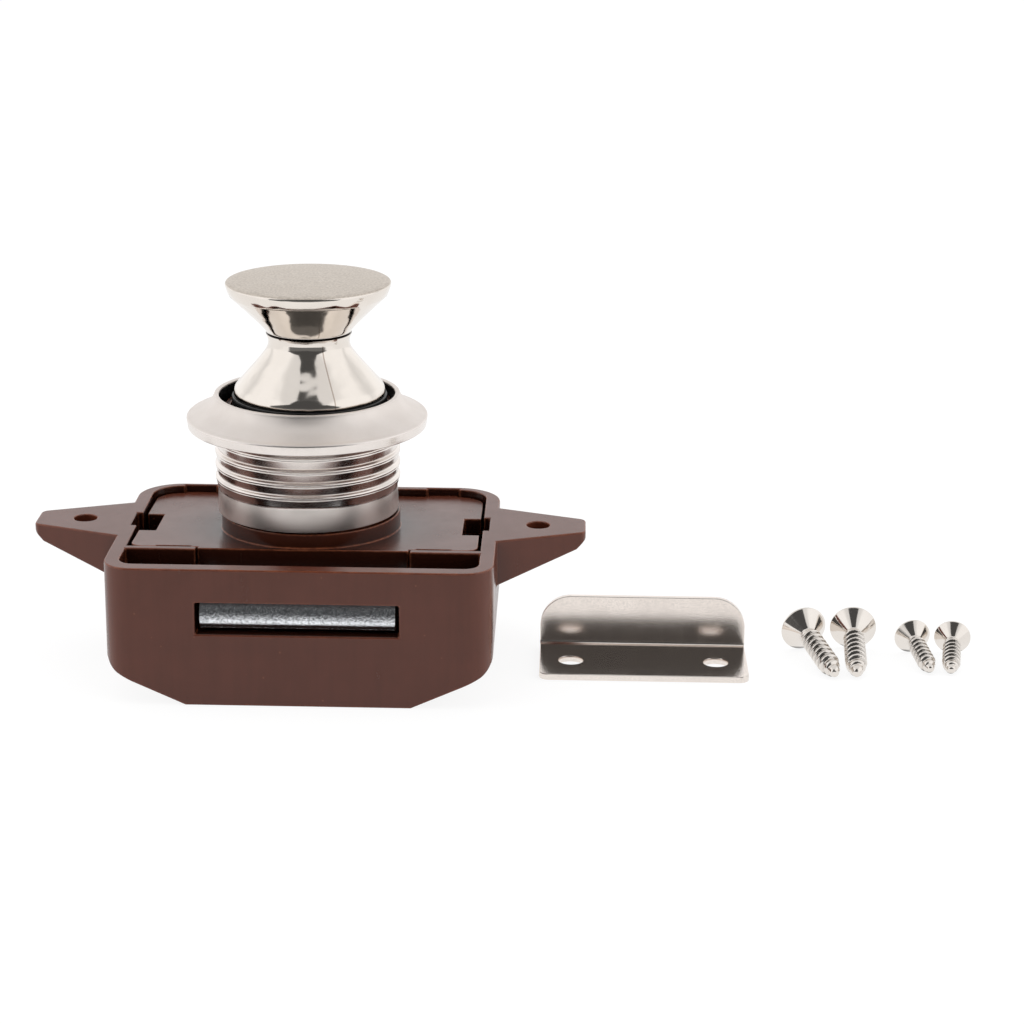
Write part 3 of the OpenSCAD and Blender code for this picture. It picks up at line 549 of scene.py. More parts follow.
@dataclass(frozen=True)
class PlatedMetal:
    """Plated metal, with brighter edges, faint scratches and, where wanted, pits, painted recess shade or
    turned rings.

    Scales are in features per millimetre, and edge radius and the painted shade's reach in metres.
    """

    name: str
    colour: Colour
    shade: Colour
    lustre: Lustre
    turned: bool = False
    mottle: float = 0.0
    scratched: float = 0.2
    edge_share: float = 0.4
    painted_shade: float = 0.0
    tone_scale: float = 0.3
    tone_share: float = 0.5
    scratch_scale: float = 2.6
    edge_radius: float = 0.00025
    edge_gain: float = 1.12
    pit_height: Pair = (0.36, 0.56)
    pit_tone: float = 0.2
    painted_shade_reach: float = 0.0007
    painted_shade_tone: float = 0.1
    least_rough: float = 0.85
    tone_rough: float = 0.25
    grain_rough: float = 0.15
    ring_scale: float = 6.0
    ring_share: float = 0.7

    def build(self) -> bpy.types.Material:
        """Makes the material.

        Returns:
            The material.
        """
        material, w, shader = new_material(self.name)
        self.dress(w, shader)
        return material

    def dress(self, w: Wiring, shader: bpy.types.Node) -> tuple[Socket, Socket]:
        """Wires the plating to a shader.

        Args:
            w: The material's wiring.
            shader: Its Principled shader.

        Returns:
            The roughness and the height of the surface, for a finish that adds to them.
        """
        texture = TEXTURES[self.lustre]
        tone = place_group(w, EFFECTS.clouds(), Scale=self.tone_scale).outputs["Tone"]
        height = place_group(w, EFFECTS.grain(), Scale=texture.scale).outputs["Height"]
        scratch = place_group(w, EFFECTS.scratches(), Scale=self.scratch_scale).outputs["Mask"]
        clean = w.blend(w.times(tone, self.tone_share), self.colour, self.shade)
        w.feed(shader.inputs["Base Color"], self.aged(w, clean, height))
        base = texture.roughness
        uneven = w.plus(w.times(tone, self.tone_rough * base), self.least_rough * base)
        marked = w.plus(uneven, w.times(scratch, self.scratched * base))
        rough = w.plus(marked, w.times(height, self.grain_rough * base))
        w.feed(shader.inputs["Roughness"], rough)
        if self.turned:
            rings = place_group(w, EFFECTS.rings(), Scale=self.ring_scale).outputs["Height"]
            height = w.plus(w.times(rings, self.ring_share), w.times(height, 1.0 - self.ring_share))
        bump = w.node("Bump", Strength=texture.grain, Distance=texture.depth, Height=height)
        w.feed(shader.inputs["Normal"], bump.outputs[0])
        shader.inputs["Metallic"].default_value = 1.0
        return rough, height

    def aged(self, w: Wiring, plate: Socket, height: Socket) -> Socket:
        """Adds pits, painted shade in recesses and bright edges to the plating's colour.

        Args:
            w: The material's wiring.
            plate: The colour of the clean plating.
            height: The height of the surface's grain.

        Returns:
            The colour after.
        """
        if self.mottle:
            pits = w.span(height, *self.pit_height, self.mottle, 0.0)
            plate = w.blend(pits, plate, dimmed(self.shade, self.pit_tone))
        # Painted shade: ambient occlusion darkens the plating in recesses such as thread valleys
        if self.painted_shade:
            deep = place_group(w, EFFECTS.recesses(), Reach=self.painted_shade_reach).outputs["Mask"]
            plate = w.blend(w.times(deep, self.painted_shade), plate, dimmed(self.shade, self.painted_shade_tone))
        edge = place_group(w, EFFECTS.edges(), Radius=self.edge_radius).outputs["Mask"]
        bright = tuple(min(1.0, self.edge_gain * c) for c in self.colour)
        return w.blend(w.times(edge, self.edge_share), plate, bright)


# Each plastic's third colour is its painted edge highlight, also used for its dust specks
BROWN = MouldedPlastic("brown_moulding", (0.119, 0.03, 0.0155), (0.102, 0.0265, 0.0135), (0.4, 0.12, 0.055),
                       roughness=0.22, edge_share=0.85)
BLACK = MouldedPlastic("black_acetal", (0.02, 0.02, 0.022), (0.014, 0.014, 0.015), (0.05, 0.05, 0.052),
                       roughness=0.4)
WHITE = MouldedPlastic("white_acetal", (0.72, 0.70, 0.63), (0.66, 0.64, 0.57), (0.78, 0.77, 0.72),
                       roughness=0.42, edge_share=0.3)
SATIN_NICKEL = PlatedMetal("satin_nickel", (0.85, 0.79, 0.75), (0.81, 0.75, 0.705), Lustre.SATIN,
                           turned=True, scratched=0.04)
BRIGHT_NICKEL = PlatedMetal("polished_nickel", (0.83, 0.77, 0.71), (0.78, 0.72, 0.66), Lustre.POLISHED)
SHEET_NICKEL = PlatedMetal("nickel_sheet", (0.86, 0.785, 0.73), (0.8, 0.725, 0.67), Lustre.ROLLED,
                           mottle=0.12)
# The screws carry painted shade in their thread valleys
SCREW_NICKEL = PlatedMetal("nickel_screw", (0.82, 0.77, 0.72), (0.75, 0.70, 0.65), Lustre.POLISHED,
                           painted_shade=0.9)
ZINC = PlatedMetal("zinc_plated_steel", (0.74, 0.77, 0.80), (0.62, 0.66, 0.70), Lustre.BLASTED)
BARREL_ZINC = PlatedMetal("barrel_zinc", (0.88, 0.90, 0.93), (0.62, 0.64, 0.67), Lustre.BARREL, mottle=0.42)
STEEL = PlatedMetal("spring_steel", (0.56, 0.57, 0.59), (0.46, 0.47, 0.49), Lustre.SATIN)


# Mesh making


def cubic(start: Sequence[float], leave: Sequence[float], arrive: Sequence[float], end: Sequence[float],
          steps: int) -> Profile:
    """Gives points of a cubic curve.

    Args:
        start: Its first point.
        leave: The point it leaves towards.
        arrive: The point it arrives from.
        end: Its last point.
        steps: The number of stretches.

    Returns:
        The points, both ends included.
    """
    points = []
    for i in range(steps + 1):
        t = i / steps
        u = 1.0 - t
        weights = (u * u * u, 3 * u * u * t, 3 * u * t * t, t * t * t)
        corners = (start, leave, arrive, end)
        points.append(tuple(sum(w * c[k] for w, c in zip(weights, corners)) for k in range(2)))
    return points


def rounded(corners: Sequence[tuple[float, float, float]], steps: int = 5) -> Profile:
    """Rounds the corners of an open outline.

    Args:
        corners: Each corner as x, y and the radius there, 0 for a sharp one.
        steps: The number of stretches in each round.

    Returns:
        The outline's points.
    """
    points: Profile = []
    for i, (x, y, radius) in enumerate(corners):
        here = Vector((x, y))
        if radius <= 0 or i in (0, len(corners) - 1):
            points.append((x, y))
            continue
        before = (Vector(corners[i - 1][:2]) - here).normalized()
        after = (Vector(corners[i + 1][:2]) - here).normalized()
        half = before.angle(after) / 2
        cut = radius / math.tan(half)
        start = here + before * cut
        end = here + after * cut
        for k in range(steps + 1):
            t = k / steps
            way = start.lerp(here, t).lerp(here.lerp(end, t), t)
            points.append((way.x, way.y))
    return points


def full_turn(steps: int) -> list[float]:
    """Gives evenly spaced angles once round."""
    return [2 * math.pi * k / steps for k in range(steps)]


def unit(value: float) -> float:
    """Keeps a value from 0 to 1."""
    return min(1.0, max(0.0, value))


def mark_creases(bm: bmesh.types.BMesh, limit_deg: float) -> None:
    """Shades the faces smooth and keeps sharp edges crisp.

    Args:
        bm: The mesh.
        limit_deg: Edges sharper than this stay crisp.
    """
    limit = math.radians(limit_deg)
    for face in bm.faces:
        face.smooth = True
    for edge in bm.edges:
        edge.smooth = len(edge.link_faces) == 2 and edge.calc_face_angle(0.0) < limit


def lathe(profile: Profile, segments: int, crease_deg: float = 35.0) -> bmesh.types.BMesh:
    """Turns a closed outline round the Z axis.

    Args:
        profile: Radius and height of each point, in millimetres.
        segments: The number of steps round the axis.
        crease_deg: Edges sharper than this stay crisp.

    Returns:
        The mesh, in metres.
    """
    bm = bmesh.new()
    rows: list[list[bmesh.types.BMVert]] = []
    for radius, z in profile:
        if radius < ON_AXIS_MM:
            rows.append([bm.verts.new((0.0, 0.0, z * MM))] * segments)
            continue
        row = []
        for angle in full_turn(segments):
            row.append(bm.verts.new((radius * MM * math.cos(angle), radius * MM * math.sin(angle), z * MM)))
        rows.append(row)
    for upper, lower in zip(rows, rows[1:] + rows[:1]):
        for k in range(segments):
            ring = [upper[k], lower[k], lower[(k + 1) % segments], upper[(k + 1) % segments]]
            corners = list(dict.fromkeys(ring))
            if len(corners) > 2:
                bm.faces.new(corners)
    bmesh.ops.recalc_face_normals(bm, faces=bm.faces)
    mark_creases(bm, crease_deg)
    return bm


def softened(node: str, width_mm: float, crease_deg: float = 30.0, segments: int = 2) -> bmesh.types.BMesh:
    """Copies a CAD node's mesh and rounds its sharp edges, within the node's box.

    Args:
        node: The node's name.
        width_mm: How far the rounding reaches from each edge.
        crease_deg: Edges sharper than this are rounded.
        segments: The number of faces across each round.

    Returns:
        The mesh, in metres.
    """
    bm = bmesh.new()
    bm.from_mesh(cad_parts[node].data)
    bmesh.ops.remove_doubles(bm, verts=bm.verts, dist=WELD_M)
    bmesh.ops.dissolve_limit(bm, angle_limit=math.radians(LEVEL_DEG), verts=bm.verts, edges=bm.edges)
    limit = math.radians(crease_deg)
    sharp = [e for e in bm.edges if len(e.link_faces) == 2 and e.calc_face_angle(0.0) > limit]
    bmesh.ops.bevel(bm, geom=sharp, offset=width_mm * MM, segments=segments, profile=0.5, affect="EDGES",
                    clamp_overlap=False, offset_type="OFFSET")
    lo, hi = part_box(node)
    for vert in bm.verts:
        vert.co = [min(max(c, low), high) for c, low, high in zip(vert.co, lo, hi)]
    bmesh.ops.dissolve_degenerate(bm, dist=WELD_M, edges=bm.edges)
    mark_creases(bm, SOFT_CREASE_DEG)
    return bm


def new_piece(bm: bmesh.types.BMesh, name: str, seat: Seat, finish: bpy.types.Material,
              nodes: Iterable[str]) -> bpy.types.Object:
    """Makes a piece from a mesh, seats it and reports it.

    Args:
        bm: The mesh, which is used up.
        name: The piece's name.
        seat: The body that it rides on.
        finish: Its material.
        nodes: The CAD nodes that it stands for.

    Returns:
        The new object.
    """
    mesh = bpy.data.meshes.new(name)
    bm.to_mesh(mesh)
    bm.free()
    mesh.materials.append(finish)
    piece = bpy.data.objects.new(name, mesh)
    bpy.context.scene.collection.objects.link(piece)
    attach(piece, seat.value)
    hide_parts(*nodes)
    LOG.info("piece %s: %d faces", name, len(mesh.polygons))
    return piece


def even_shading(piece: bpy.types.Object) -> None:
    """Keeps flat faces flat to the light beside their rounded edges.

    Args:
        piece: The object, whose normals are set.
    """
    weighted = piece.modifiers.new("even_shading", "WEIGHTED_NORMAL")
    weighted.weight = FLAT_FACE_WEIGHT
    weighted.keep_sharp = True
    with bpy.context.temp_override(object=piece, active_object=piece):
        bpy.ops.object.modifier_apply(modifier=weighted.name)


def dress_node(node: str, finish: bpy.types.Material) -> None:
    """Gives a CAD node that stays in view its material, and reports it.

    Args:
        node: The node's name.
        finish: Its material.
    """
    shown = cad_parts[node]
    shown.data.materials.clear()
    shown.data.materials.append(finish)
    LOG.info("node %s: %s", node, finish.name)


# Sub-assemblies


@dataclass
class Case:
    """The moulded case and its cover, with the rounding of their edges in millimetres."""

    edge: float = 0.22
    cover_edge: float = 0.16

    def build(self, plastic: bpy.types.Material) -> None:
        """Makes both mouldings with rounded edges.

        Args:
            plastic: Their material.
        """
        for node, width in (("housing", self.edge), ("cover", self.cover_edge)):
            piece = new_piece(softened(node, width), node + "_moulding", Seat.CASE, plastic,
                              [node])
            even_shading(piece)


@dataclass
class Collar:
    """The collar: flange, lip and ridged sleeve, in millimetres.

    The cone is the flange's upper face. It leaves the lip and arrives at the rim at shares of its run
    and rise.
    """

    flange_r: float = 16.25
    flange_edge: float = 1.5
    flange_z: float = 15.3
    rim_slope: Pair = (0.9, 0.2)
    rim_drop: float = 0.02
    rim_round: float = 0.3
    rim_draft: float = 0.19
    rim_roll: float = 0.12
    rim_low_round: float = 0.1
    rim_under: float = 0.45
    cone_drop: float = 0.25
    cone_leave: Pair = (0.16, 0.53)
    cone_arrive: Pair = (0.53, 0.27)
    cone_end: Pair = (0.6, 0.1)
    cone_steps: int = 20
    top: float = 18.3
    bottom: float = 2.2
    lip_depth: float = 1.2
    lip_inner_round: float = 0.2
    lip_outer_round: float = 0.22
    foot_round: float = 0.14
    sleeve_r: float = 12.5
    bore_r: float = 11.85
    ridge_count: int = 4
    ridge_pitch: float = 1.8
    ridge_w: float = 0.7
    ridge_h: float = 0.33
    ridge_z: float = 7.0
    ridge_steps: int = 16
    land_ends: Pair = (0.12, 0.88)
    barb: float = 0.31
    band_z: float = 5.6
    band_step: Pair = (0.01, 0.3)
    band_draft: float = -0.1
    band_rough: float = 0.3
    band_fade: float = 0.4
    flange_rough: float = 0.48
    flange_fade: float = 0.3
    bore_painted_shade: Colour = (0.02, 0.018, 0.017)
    bore_skin: Pair = (0.04, 0.1)
    bore_below: Pair = (0.4, 0.2)
    sits_left: float = 0.35
    segments: int = 192

    @property
    def land_r(self) -> float:
        """Gives the sleeve's radius between the ridges."""
        return self.sleeve_r - self.ridge_h

    @property
    def flange_low(self) -> float:
        """Gives the height of the flange's underside."""
        return self.flange_z - self.flange_edge

    def rim(self) -> Profile:
        """Gives the flange's edge, rolled under towards the sleeve.

        Returns:
            The points, from the top down.
        """
        inward, upward = self.rim_slope
        low = self.flange_low
        edge = rounded([(self.flange_r - inward, self.flange_z + upward, 0),
                        (self.flange_r, self.flange_z - self.rim_drop, self.rim_round),
                        (self.flange_r - self.rim_draft, low + self.rim_roll, self.rim_low_round),
                        (self.flange_r - self.rim_under, low, 0)])
        return edge[1:]

    def sleeve(self) -> Profile:
        """Gives the sleeve's ridges and the tapered lands between them.

        Returns:
            The points, from the top ridge down.
        """
        half = self.ridge_w / 2
        crest = self.sleeve_r - self.land_r - self.barb / 2
        points: Profile = []
        for i in reversed(range(self.ridge_count)):
            z = self.ridge_z + i * self.ridge_pitch
            for k in range(self.ridge_steps + 1):
                away = 1.0 - 2.0 * k / self.ridge_steps
                swell = 0.5 + 0.5 * math.cos(math.pi * away)
                base = self.land_r + self.barb * (0.5 - 0.5 * away)
                points.append((base + crest * swell, z + half * away))
            land = self.ridge_pitch - self.ridge_w if i else self.ridge_z - half - self.band_z
            points += [(self.land_r + self.barb * (1.0 - t), z - half - land * t) for t in self.land_ends]
        return points

    def cone(self) -> Profile:
        """Gives the flange's upper face.

        Returns:
            The points, from the lip out to the rim.
        """
        run = self.flange_r - self.sleeve_r
        rise = self.top - self.flange_z
        return cubic((self.sleeve_r, self.top - self.cone_drop),
                     (self.sleeve_r + self.cone_leave[0] * run, self.top - self.cone_leave[1] * rise),
                     (self.flange_r - self.cone_arrive[0] * run, self.flange_z + self.cone_arrive[1] * rise),
                     (self.flange_r - self.cone_end[0], self.flange_z + self.cone_end[1]), self.cone_steps)

    def profile(self) -> Profile:
        """Gives the collar's closed outline.

        Returns:
            The points, from the bore over the lip and down the sleeve.
        """
        cone = self.cone()
        lip = rounded([(self.bore_r, self.top - self.lip_depth, 0),
                       (self.bore_r, self.top, self.lip_inner_round),
                       (self.sleeve_r, self.top, self.lip_outer_round), (*cone[0], 0)])
        foot = rounded([(self.land_r, self.band_z, 0),
                        (self.land_r - self.band_draft, self.bottom, self.foot_round),
                        (self.bore_r, self.bottom, 0)])
        inward, downward = self.band_step
        foot.insert(1, (self.land_r - inward, self.band_z - downward))
        return lip[:-1] + cone + self.rim() + [(self.land_r, self.flange_low)] + self.sleeve() + foot

    def finish(self, plate: PlatedMetal) -> bpy.types.Material:
        """Makes the turned finish of the sleeve, with a blasted flange and painted shade in the bore.

        Args:
            plate: The plating that it starts from.

        Returns:
            The collar's material.
        """
        material, w, shader = new_material("collar_nickel")
        rough, _ = plate.dress(w, shader)
        apart = w.node("SeparateXYZ", Vector=w.place_mm())
        height = apart.outputs["Z"]
        smooth = TEXTURES[plate.lustre].roughness
        blasted = w.span(height, self.flange_z - self.flange_fade, self.flange_z, 0.0,
                         self.flange_rough - smooth)
        brushed = w.span(height, self.band_z - self.band_fade, self.band_z, self.band_rough - smooth, 0.0)
        w.feed(shader.inputs["Roughness"], w.plus(rough, w.math("MAXIMUM", blasted, brushed)))
        # Painted shade: the bore below the lip is painted nearly black
        radius = w.length(w.plus(apart.outputs["X"], self.sits_left), apart.outputs["Y"])
        within = w.fall(radius, *(self.bore_r + skin for skin in self.bore_skin))
        bore = w.times(within, w.fall(height, *(self.top - below for below in self.bore_below)))
        plated = shader.inputs["Base Color"].links[0].from_socket
        w.feed(shader.inputs["Base Color"], w.blend(bore, plated, self.bore_painted_shade))
        return material

    def build(self, plate: PlatedMetal) -> None:
        """Makes the collar, which sits a little to the left on its guide tube.

        Args:
            plate: Its plating.
        """
        bm = lathe(self.profile(), self.segments)
        bmesh.ops.translate(bm, verts=bm.verts, vec=(-self.sits_left * MM, 0.0, 0.0))
        new_piece(bm, "collar_turned", Seat.COLLAR, self.finish(plate), ["collar"])


@dataclass
class Knob:
    """The waisted push knob, in millimetres, and the stem under it."""

    low: float = 18.2
    height: float = 15.35
    disc_r: float = 11.15
    disc_edge: float = 0.95
    disc_under: float = 0.55
    disc_lean: float = 0.28
    disc_slope: float = 0.7
    disc_round: float = 0.42
    disc_low_round: float = 0.15
    dome_h: float = 0.3
    dome_start: Pair = (1.0, 0.1)
    dome_leave: Pair = (0.7, 0.75)
    dome_arrive: float = 0.35
    dome_steps: int = 14
    waist_h: float = 7.6
    waist_r: float = 5.46
    waist_bend: float = 1.35
    neck_h: float = 0.95
    neck_flare: float = 0.3
    neck_bend: float = 0.5
    flare_steps: int = 32
    crease: float = 0.16
    crease_depth: float = 0.3
    skirt_r: float = 10.2
    skirt_band: float = 0.9
    skirt_round: float = 1.9
    skirt_join: int = 5
    foot_round: float = 0.06
    foot_steps: int = 8
    cavity_r: float = 6.15
    cavity_h: float = 4.95
    hole_r: float = 1.3
    hole_h: float = 10.65
    hole_tip: float = 0.35
    segments: int = 192
    crisp_deg: float = 30.0
    stem_edge: float = 0.15
    stem_crease_deg: float = 60.0
    blasted_colour: Colour = (0.7, 0.63, 0.555)
    blasted_shade: Colour = (0.535, 0.475, 0.415)
    blasted_below: Pair = (0.2, 0.05)
    blasted_bump: float = 14.0
    pit_scale: float = 3.2
    crease_shade_colour: Colour = (0.03, 0.022, 0.018)
    crease_reach: Pair = (0.1, 0.22)
    crease_share: float = 0.95
    seam_deg: float = 25.0
    seam_colour: Colour = (0.28, 0.2, 0.15)
    seam_reach: Pair = (0.04, 0.14)
    seam_share: float = 0.6
    seam_bump: float = 1.5
    fine_bump: float = 0.03
    fine_depth: float = 0.00003
    ripple: float = 0.9
    ripple_depth: float = 0.0001
    ripple_scale: float = 0.4

    @property
    def top(self) -> float:
        """Gives the height of the top disc's edge."""
        return self.low + self.height

    @property
    def waist_z(self) -> float:
        """Gives the height of the waist's narrowest place."""
        return self.low + self.waist_h

    @property
    def neck_z(self) -> float:
        """Gives the height of the crease above the waist."""
        return self.waist_z + self.neck_h

    def profile(self) -> Profile:
        """Gives the knob's closed outline.

        Returns:
            The points, from the cavity round the skirt, the waist and the disc.
        """
        neck_r = self.waist_r + self.neck_flare
        bend = (self.waist_r, self.waist_z - self.waist_bend)
        corner = (neck_r, self.neck_z + self.neck_bend)
        rim = (self.disc_r - self.disc_under, self.top - self.disc_edge - self.disc_slope)
        halfway = ((corner[0] + rim[0]) / 2, (corner[1] + rim[1]) / 2)
        lower = cubic((self.skirt_r, self.low + self.skirt_band), bend, bend, (self.waist_r, self.waist_z),
                      self.flare_steps)
        upper = cubic((neck_r, self.neck_z + self.crease), corner, halfway, rim, self.flare_steps)
        foot = rounded([(self.cavity_r, self.low, 0), (self.skirt_r, self.low, self.foot_round),
                        (*lower[0], self.skirt_round), (*lower[self.skirt_join], 0)], self.foot_steps)
        groove: Profile = [(neck_r, self.neck_z - self.crease), (neck_r - self.crease_depth, self.neck_z)]
        return foot[:-1] + lower[self.skirt_join:] + groove + upper + self.disc(rim) + self.inside()

    def disc(self, rim: Pair) -> Profile:
        """Gives the top disc's edge and its low dome.

        Args:
            rim: Where the upper flare meets the disc.

        Returns:
            The points, from the flare to the axis.
        """
        inward, upward = self.dome_start
        shoulder = (self.disc_r - inward, self.top + upward)
        edge = rounded([(*rim, 0),
                        (self.disc_r - self.disc_lean, self.top - self.disc_edge, self.disc_low_round),
                        (self.disc_r, self.top, self.disc_round), (*shoulder, 0)])
        crown = self.top + self.dome_h
        leave = (self.disc_r * self.dome_leave[0], self.top + self.dome_h * self.dome_leave[1])
        dome = cubic(shoulder, leave, (self.disc_r * self.dome_arrive, crown), (0.0, crown), self.dome_steps)
        return edge[1:-1] + dome

    def inside(self) -> Profile:
        """Gives the screw hole and the cavity for the stem.

        Returns:
            The points, from the axis down and out.
        """
        hole_z = self.low + self.hole_h
        cavity_z = self.low + self.cavity_h
        return [(0.0, hole_z), (self.hole_r, hole_z - self.hole_tip), (self.hole_r, cavity_z),
                (self.cavity_r, cavity_z)]

    def finish(self, plate: PlatedMetal) -> bpy.types.Material:
        """Makes the polished finish: blasted top, painted crease shade, faint mould line, ripple of hand
        polish.

        Args:
            plate: The plating that it starts from.

        Returns:
            The knob's material.
        """
        material, w, shader = new_material("knob_nickel")
        rough, height = plate.dress(w, shader)
        apart = w.node("SeparateXYZ", Vector=w.place_mm())
        blasted = w.span(apart.outputs["Z"], *(self.top - below for below in self.blasted_below))
        satin = TEXTURES[Lustre.BLASTED].roughness
        w.feed(shader.inputs["Roughness"], w.plus(rough, w.times(blasted, satin)))
        plated = shader.inputs["Base Color"].links[0].from_socket
        coarse = w.noise(w.place_mm(), self.pit_scale, detail=3.0, roughness=0.7)
        pitted = w.span(coarse, low=0.34, high=0.66)
        plated = w.blend(blasted, plated, w.blend(pitted, self.blasted_shade, self.blasted_colour))
        # Painted shade: the crease above the waist is painted nearly black
        off_crease = w.math("ABSOLUTE", w.math("SUBTRACT", apart.outputs["Z"], self.neck_z))
        crease_shaded = w.span(off_crease, *self.crease_reach, self.crease_share, 0.0)
        plated = w.blend(crease_shaded, plated, self.crease_shade_colour)
        seam = self.seam(w, apart)
        lined = w.blend(w.times(seam, self.seam_share), plated, self.seam_colour)
        w.feed(shader.inputs["Base Color"], lined)
        grain = w.times(height, w.span(blasted, 0.0, 1.0, 1.0, self.blasted_bump))
        raised = w.plus(grain, w.times(seam, self.seam_bump))
        wavy = w.node("Bump", Strength=self.ripple, Distance=self.ripple_depth,
                      Height=w.noise(w.place_mm(), self.ripple_scale, detail=1.0))
        bump = w.node("Bump", Strength=self.fine_bump, Distance=self.fine_depth, Height=raised,
                      Normal=wavy.outputs[0])
        w.feed(shader.inputs["Normal"], bump.outputs[0])
        return material

    def seam(self, w: Wiring, apart: bpy.types.Node) -> Socket:
        """Gives a mask of the mould line down the front of the lower flare.

        Args:
            w: The material's wiring.
            apart: The node with the place's X, Y and Z, in millimetres.

        Returns:
            The mask.
        """
        turn = math.radians(self.seam_deg)
        off_line = w.math("ABSOLUTE", w.plus(w.times(apart.outputs["X"], math.cos(turn)),
                                             w.times(apart.outputs["Y"], math.sin(turn))))
        ahead = w.math("LESS_THAN", apart.outputs["Y"], 0.0)
        below = w.math("LESS_THAN", apart.outputs["Z"], self.waist_z)
        return w.times(w.fall(off_line, *self.seam_reach), w.times(ahead, below))

    def build(self, plate: PlatedMetal, finishes: dict[str, bpy.types.Material]) -> None:
        """Makes the knob and its stem, and dresses the pins, screw and washer that move with it.

        Args:
            plate: The knob's plating.
            finishes: The other materials, by a plain word.
        """
        new_piece(lathe(self.profile(), self.segments, self.crisp_deg), "knob_turned", Seat.KNOB,
                  self.finish(plate), ["knob"])
        new_piece(softened("plunger", self.stem_edge, self.stem_crease_deg), "plunger_stem", Seat.KNOB,
                  finishes["black"], ["plunger"])
        dress_node("drive_pins", finishes["steel"])
        dress_node("knob_screw", finishes["zinc"])
        dress_node("screw_washer", finishes["steel"])


@dataclass
class CoilSpring:
    """A round-wire spring, in millimetres, closed at both ends."""

    node: str
    axis: Vector
    anchor: Vector
    length: float
    outer_d: float
    wire_d: float
    turns: int
    joint: str
    travel: float
    seat: Seat
    sides: int = 12
    per_turn: int = 28
    closed_turns: float = 0.8
    closed_rise: float = 0.55
    crisp_deg: float = 50.0

    def rise(self, share: float) -> float:
        """Gives how far up the wire is, with close turns at the ends.

        Args:
            share: How far along the wire, from 0 to 1.

        Returns:
            The share of its rise.
        """
        closed = self.closed_turns / self.turns
        slow = self.closed_rise
        if share < closed:
            return slow * share
        if share > 1.0 - closed:
            return 1.0 - slow * (1.0 - share)
        steep = (1.0 - 2 * slow * closed) / (1.0 - 2 * closed)
        return slow * closed + steep * (share - closed)

    def wind(self, bm: bmesh.types.BMesh) -> list[list[bmesh.types.BMVert]]:
        """Adds the wire's rings of points.

        Args:
            bm: The mesh that they go into.

        Returns:
            The rings, from the anchor on.
        """
        wire_r = self.wire_d / 2
        mid_r = self.outer_d / 2 - wire_r
        upright = self.axis.to_track_quat("Z", "Y").to_matrix().to_4x4()
        last = self.turns * self.per_turn
        rings = []
        for i in range(last + 1):
            angle = 2 * math.pi * i / self.per_turn
            out = Vector((math.cos(angle), math.sin(angle), 0.0))
            centre = mid_r * out + Vector((0, 0, wire_r + (self.length - self.wire_d) * self.rise(i / last)))
            ring = []
            for b in full_turn(self.sides):
                point = centre + wire_r * (math.cos(b) * out + Vector((0, 0, math.sin(b))))
                ring.append(bm.verts.new(upright @ (point * MM) + self.anchor * MM))
            rings.append(ring)
        return rings

    def build(self, finish: bpy.types.Material) -> None:
        """Makes the spring.

        Args:
            finish: Its material.
        """
        bm = bmesh.new()
        rings = self.wind(bm)
        for low, high in zip(rings, rings[1:]):
            for k in range(self.sides):
                bm.faces.new([low[k], low[(k + 1) % self.sides], high[(k + 1) % self.sides], high[k]])
        bm.faces.new(rings[0])
        bm.faces.new(rings[-1])
        bmesh.ops.recalc_face_normals(bm, faces=bm.faces)
        mark_creases(bm, self.crisp_deg)
        piece = new_piece(bm, self.node + "_coil", self.seat, finish, [self.node])
        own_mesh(piece)


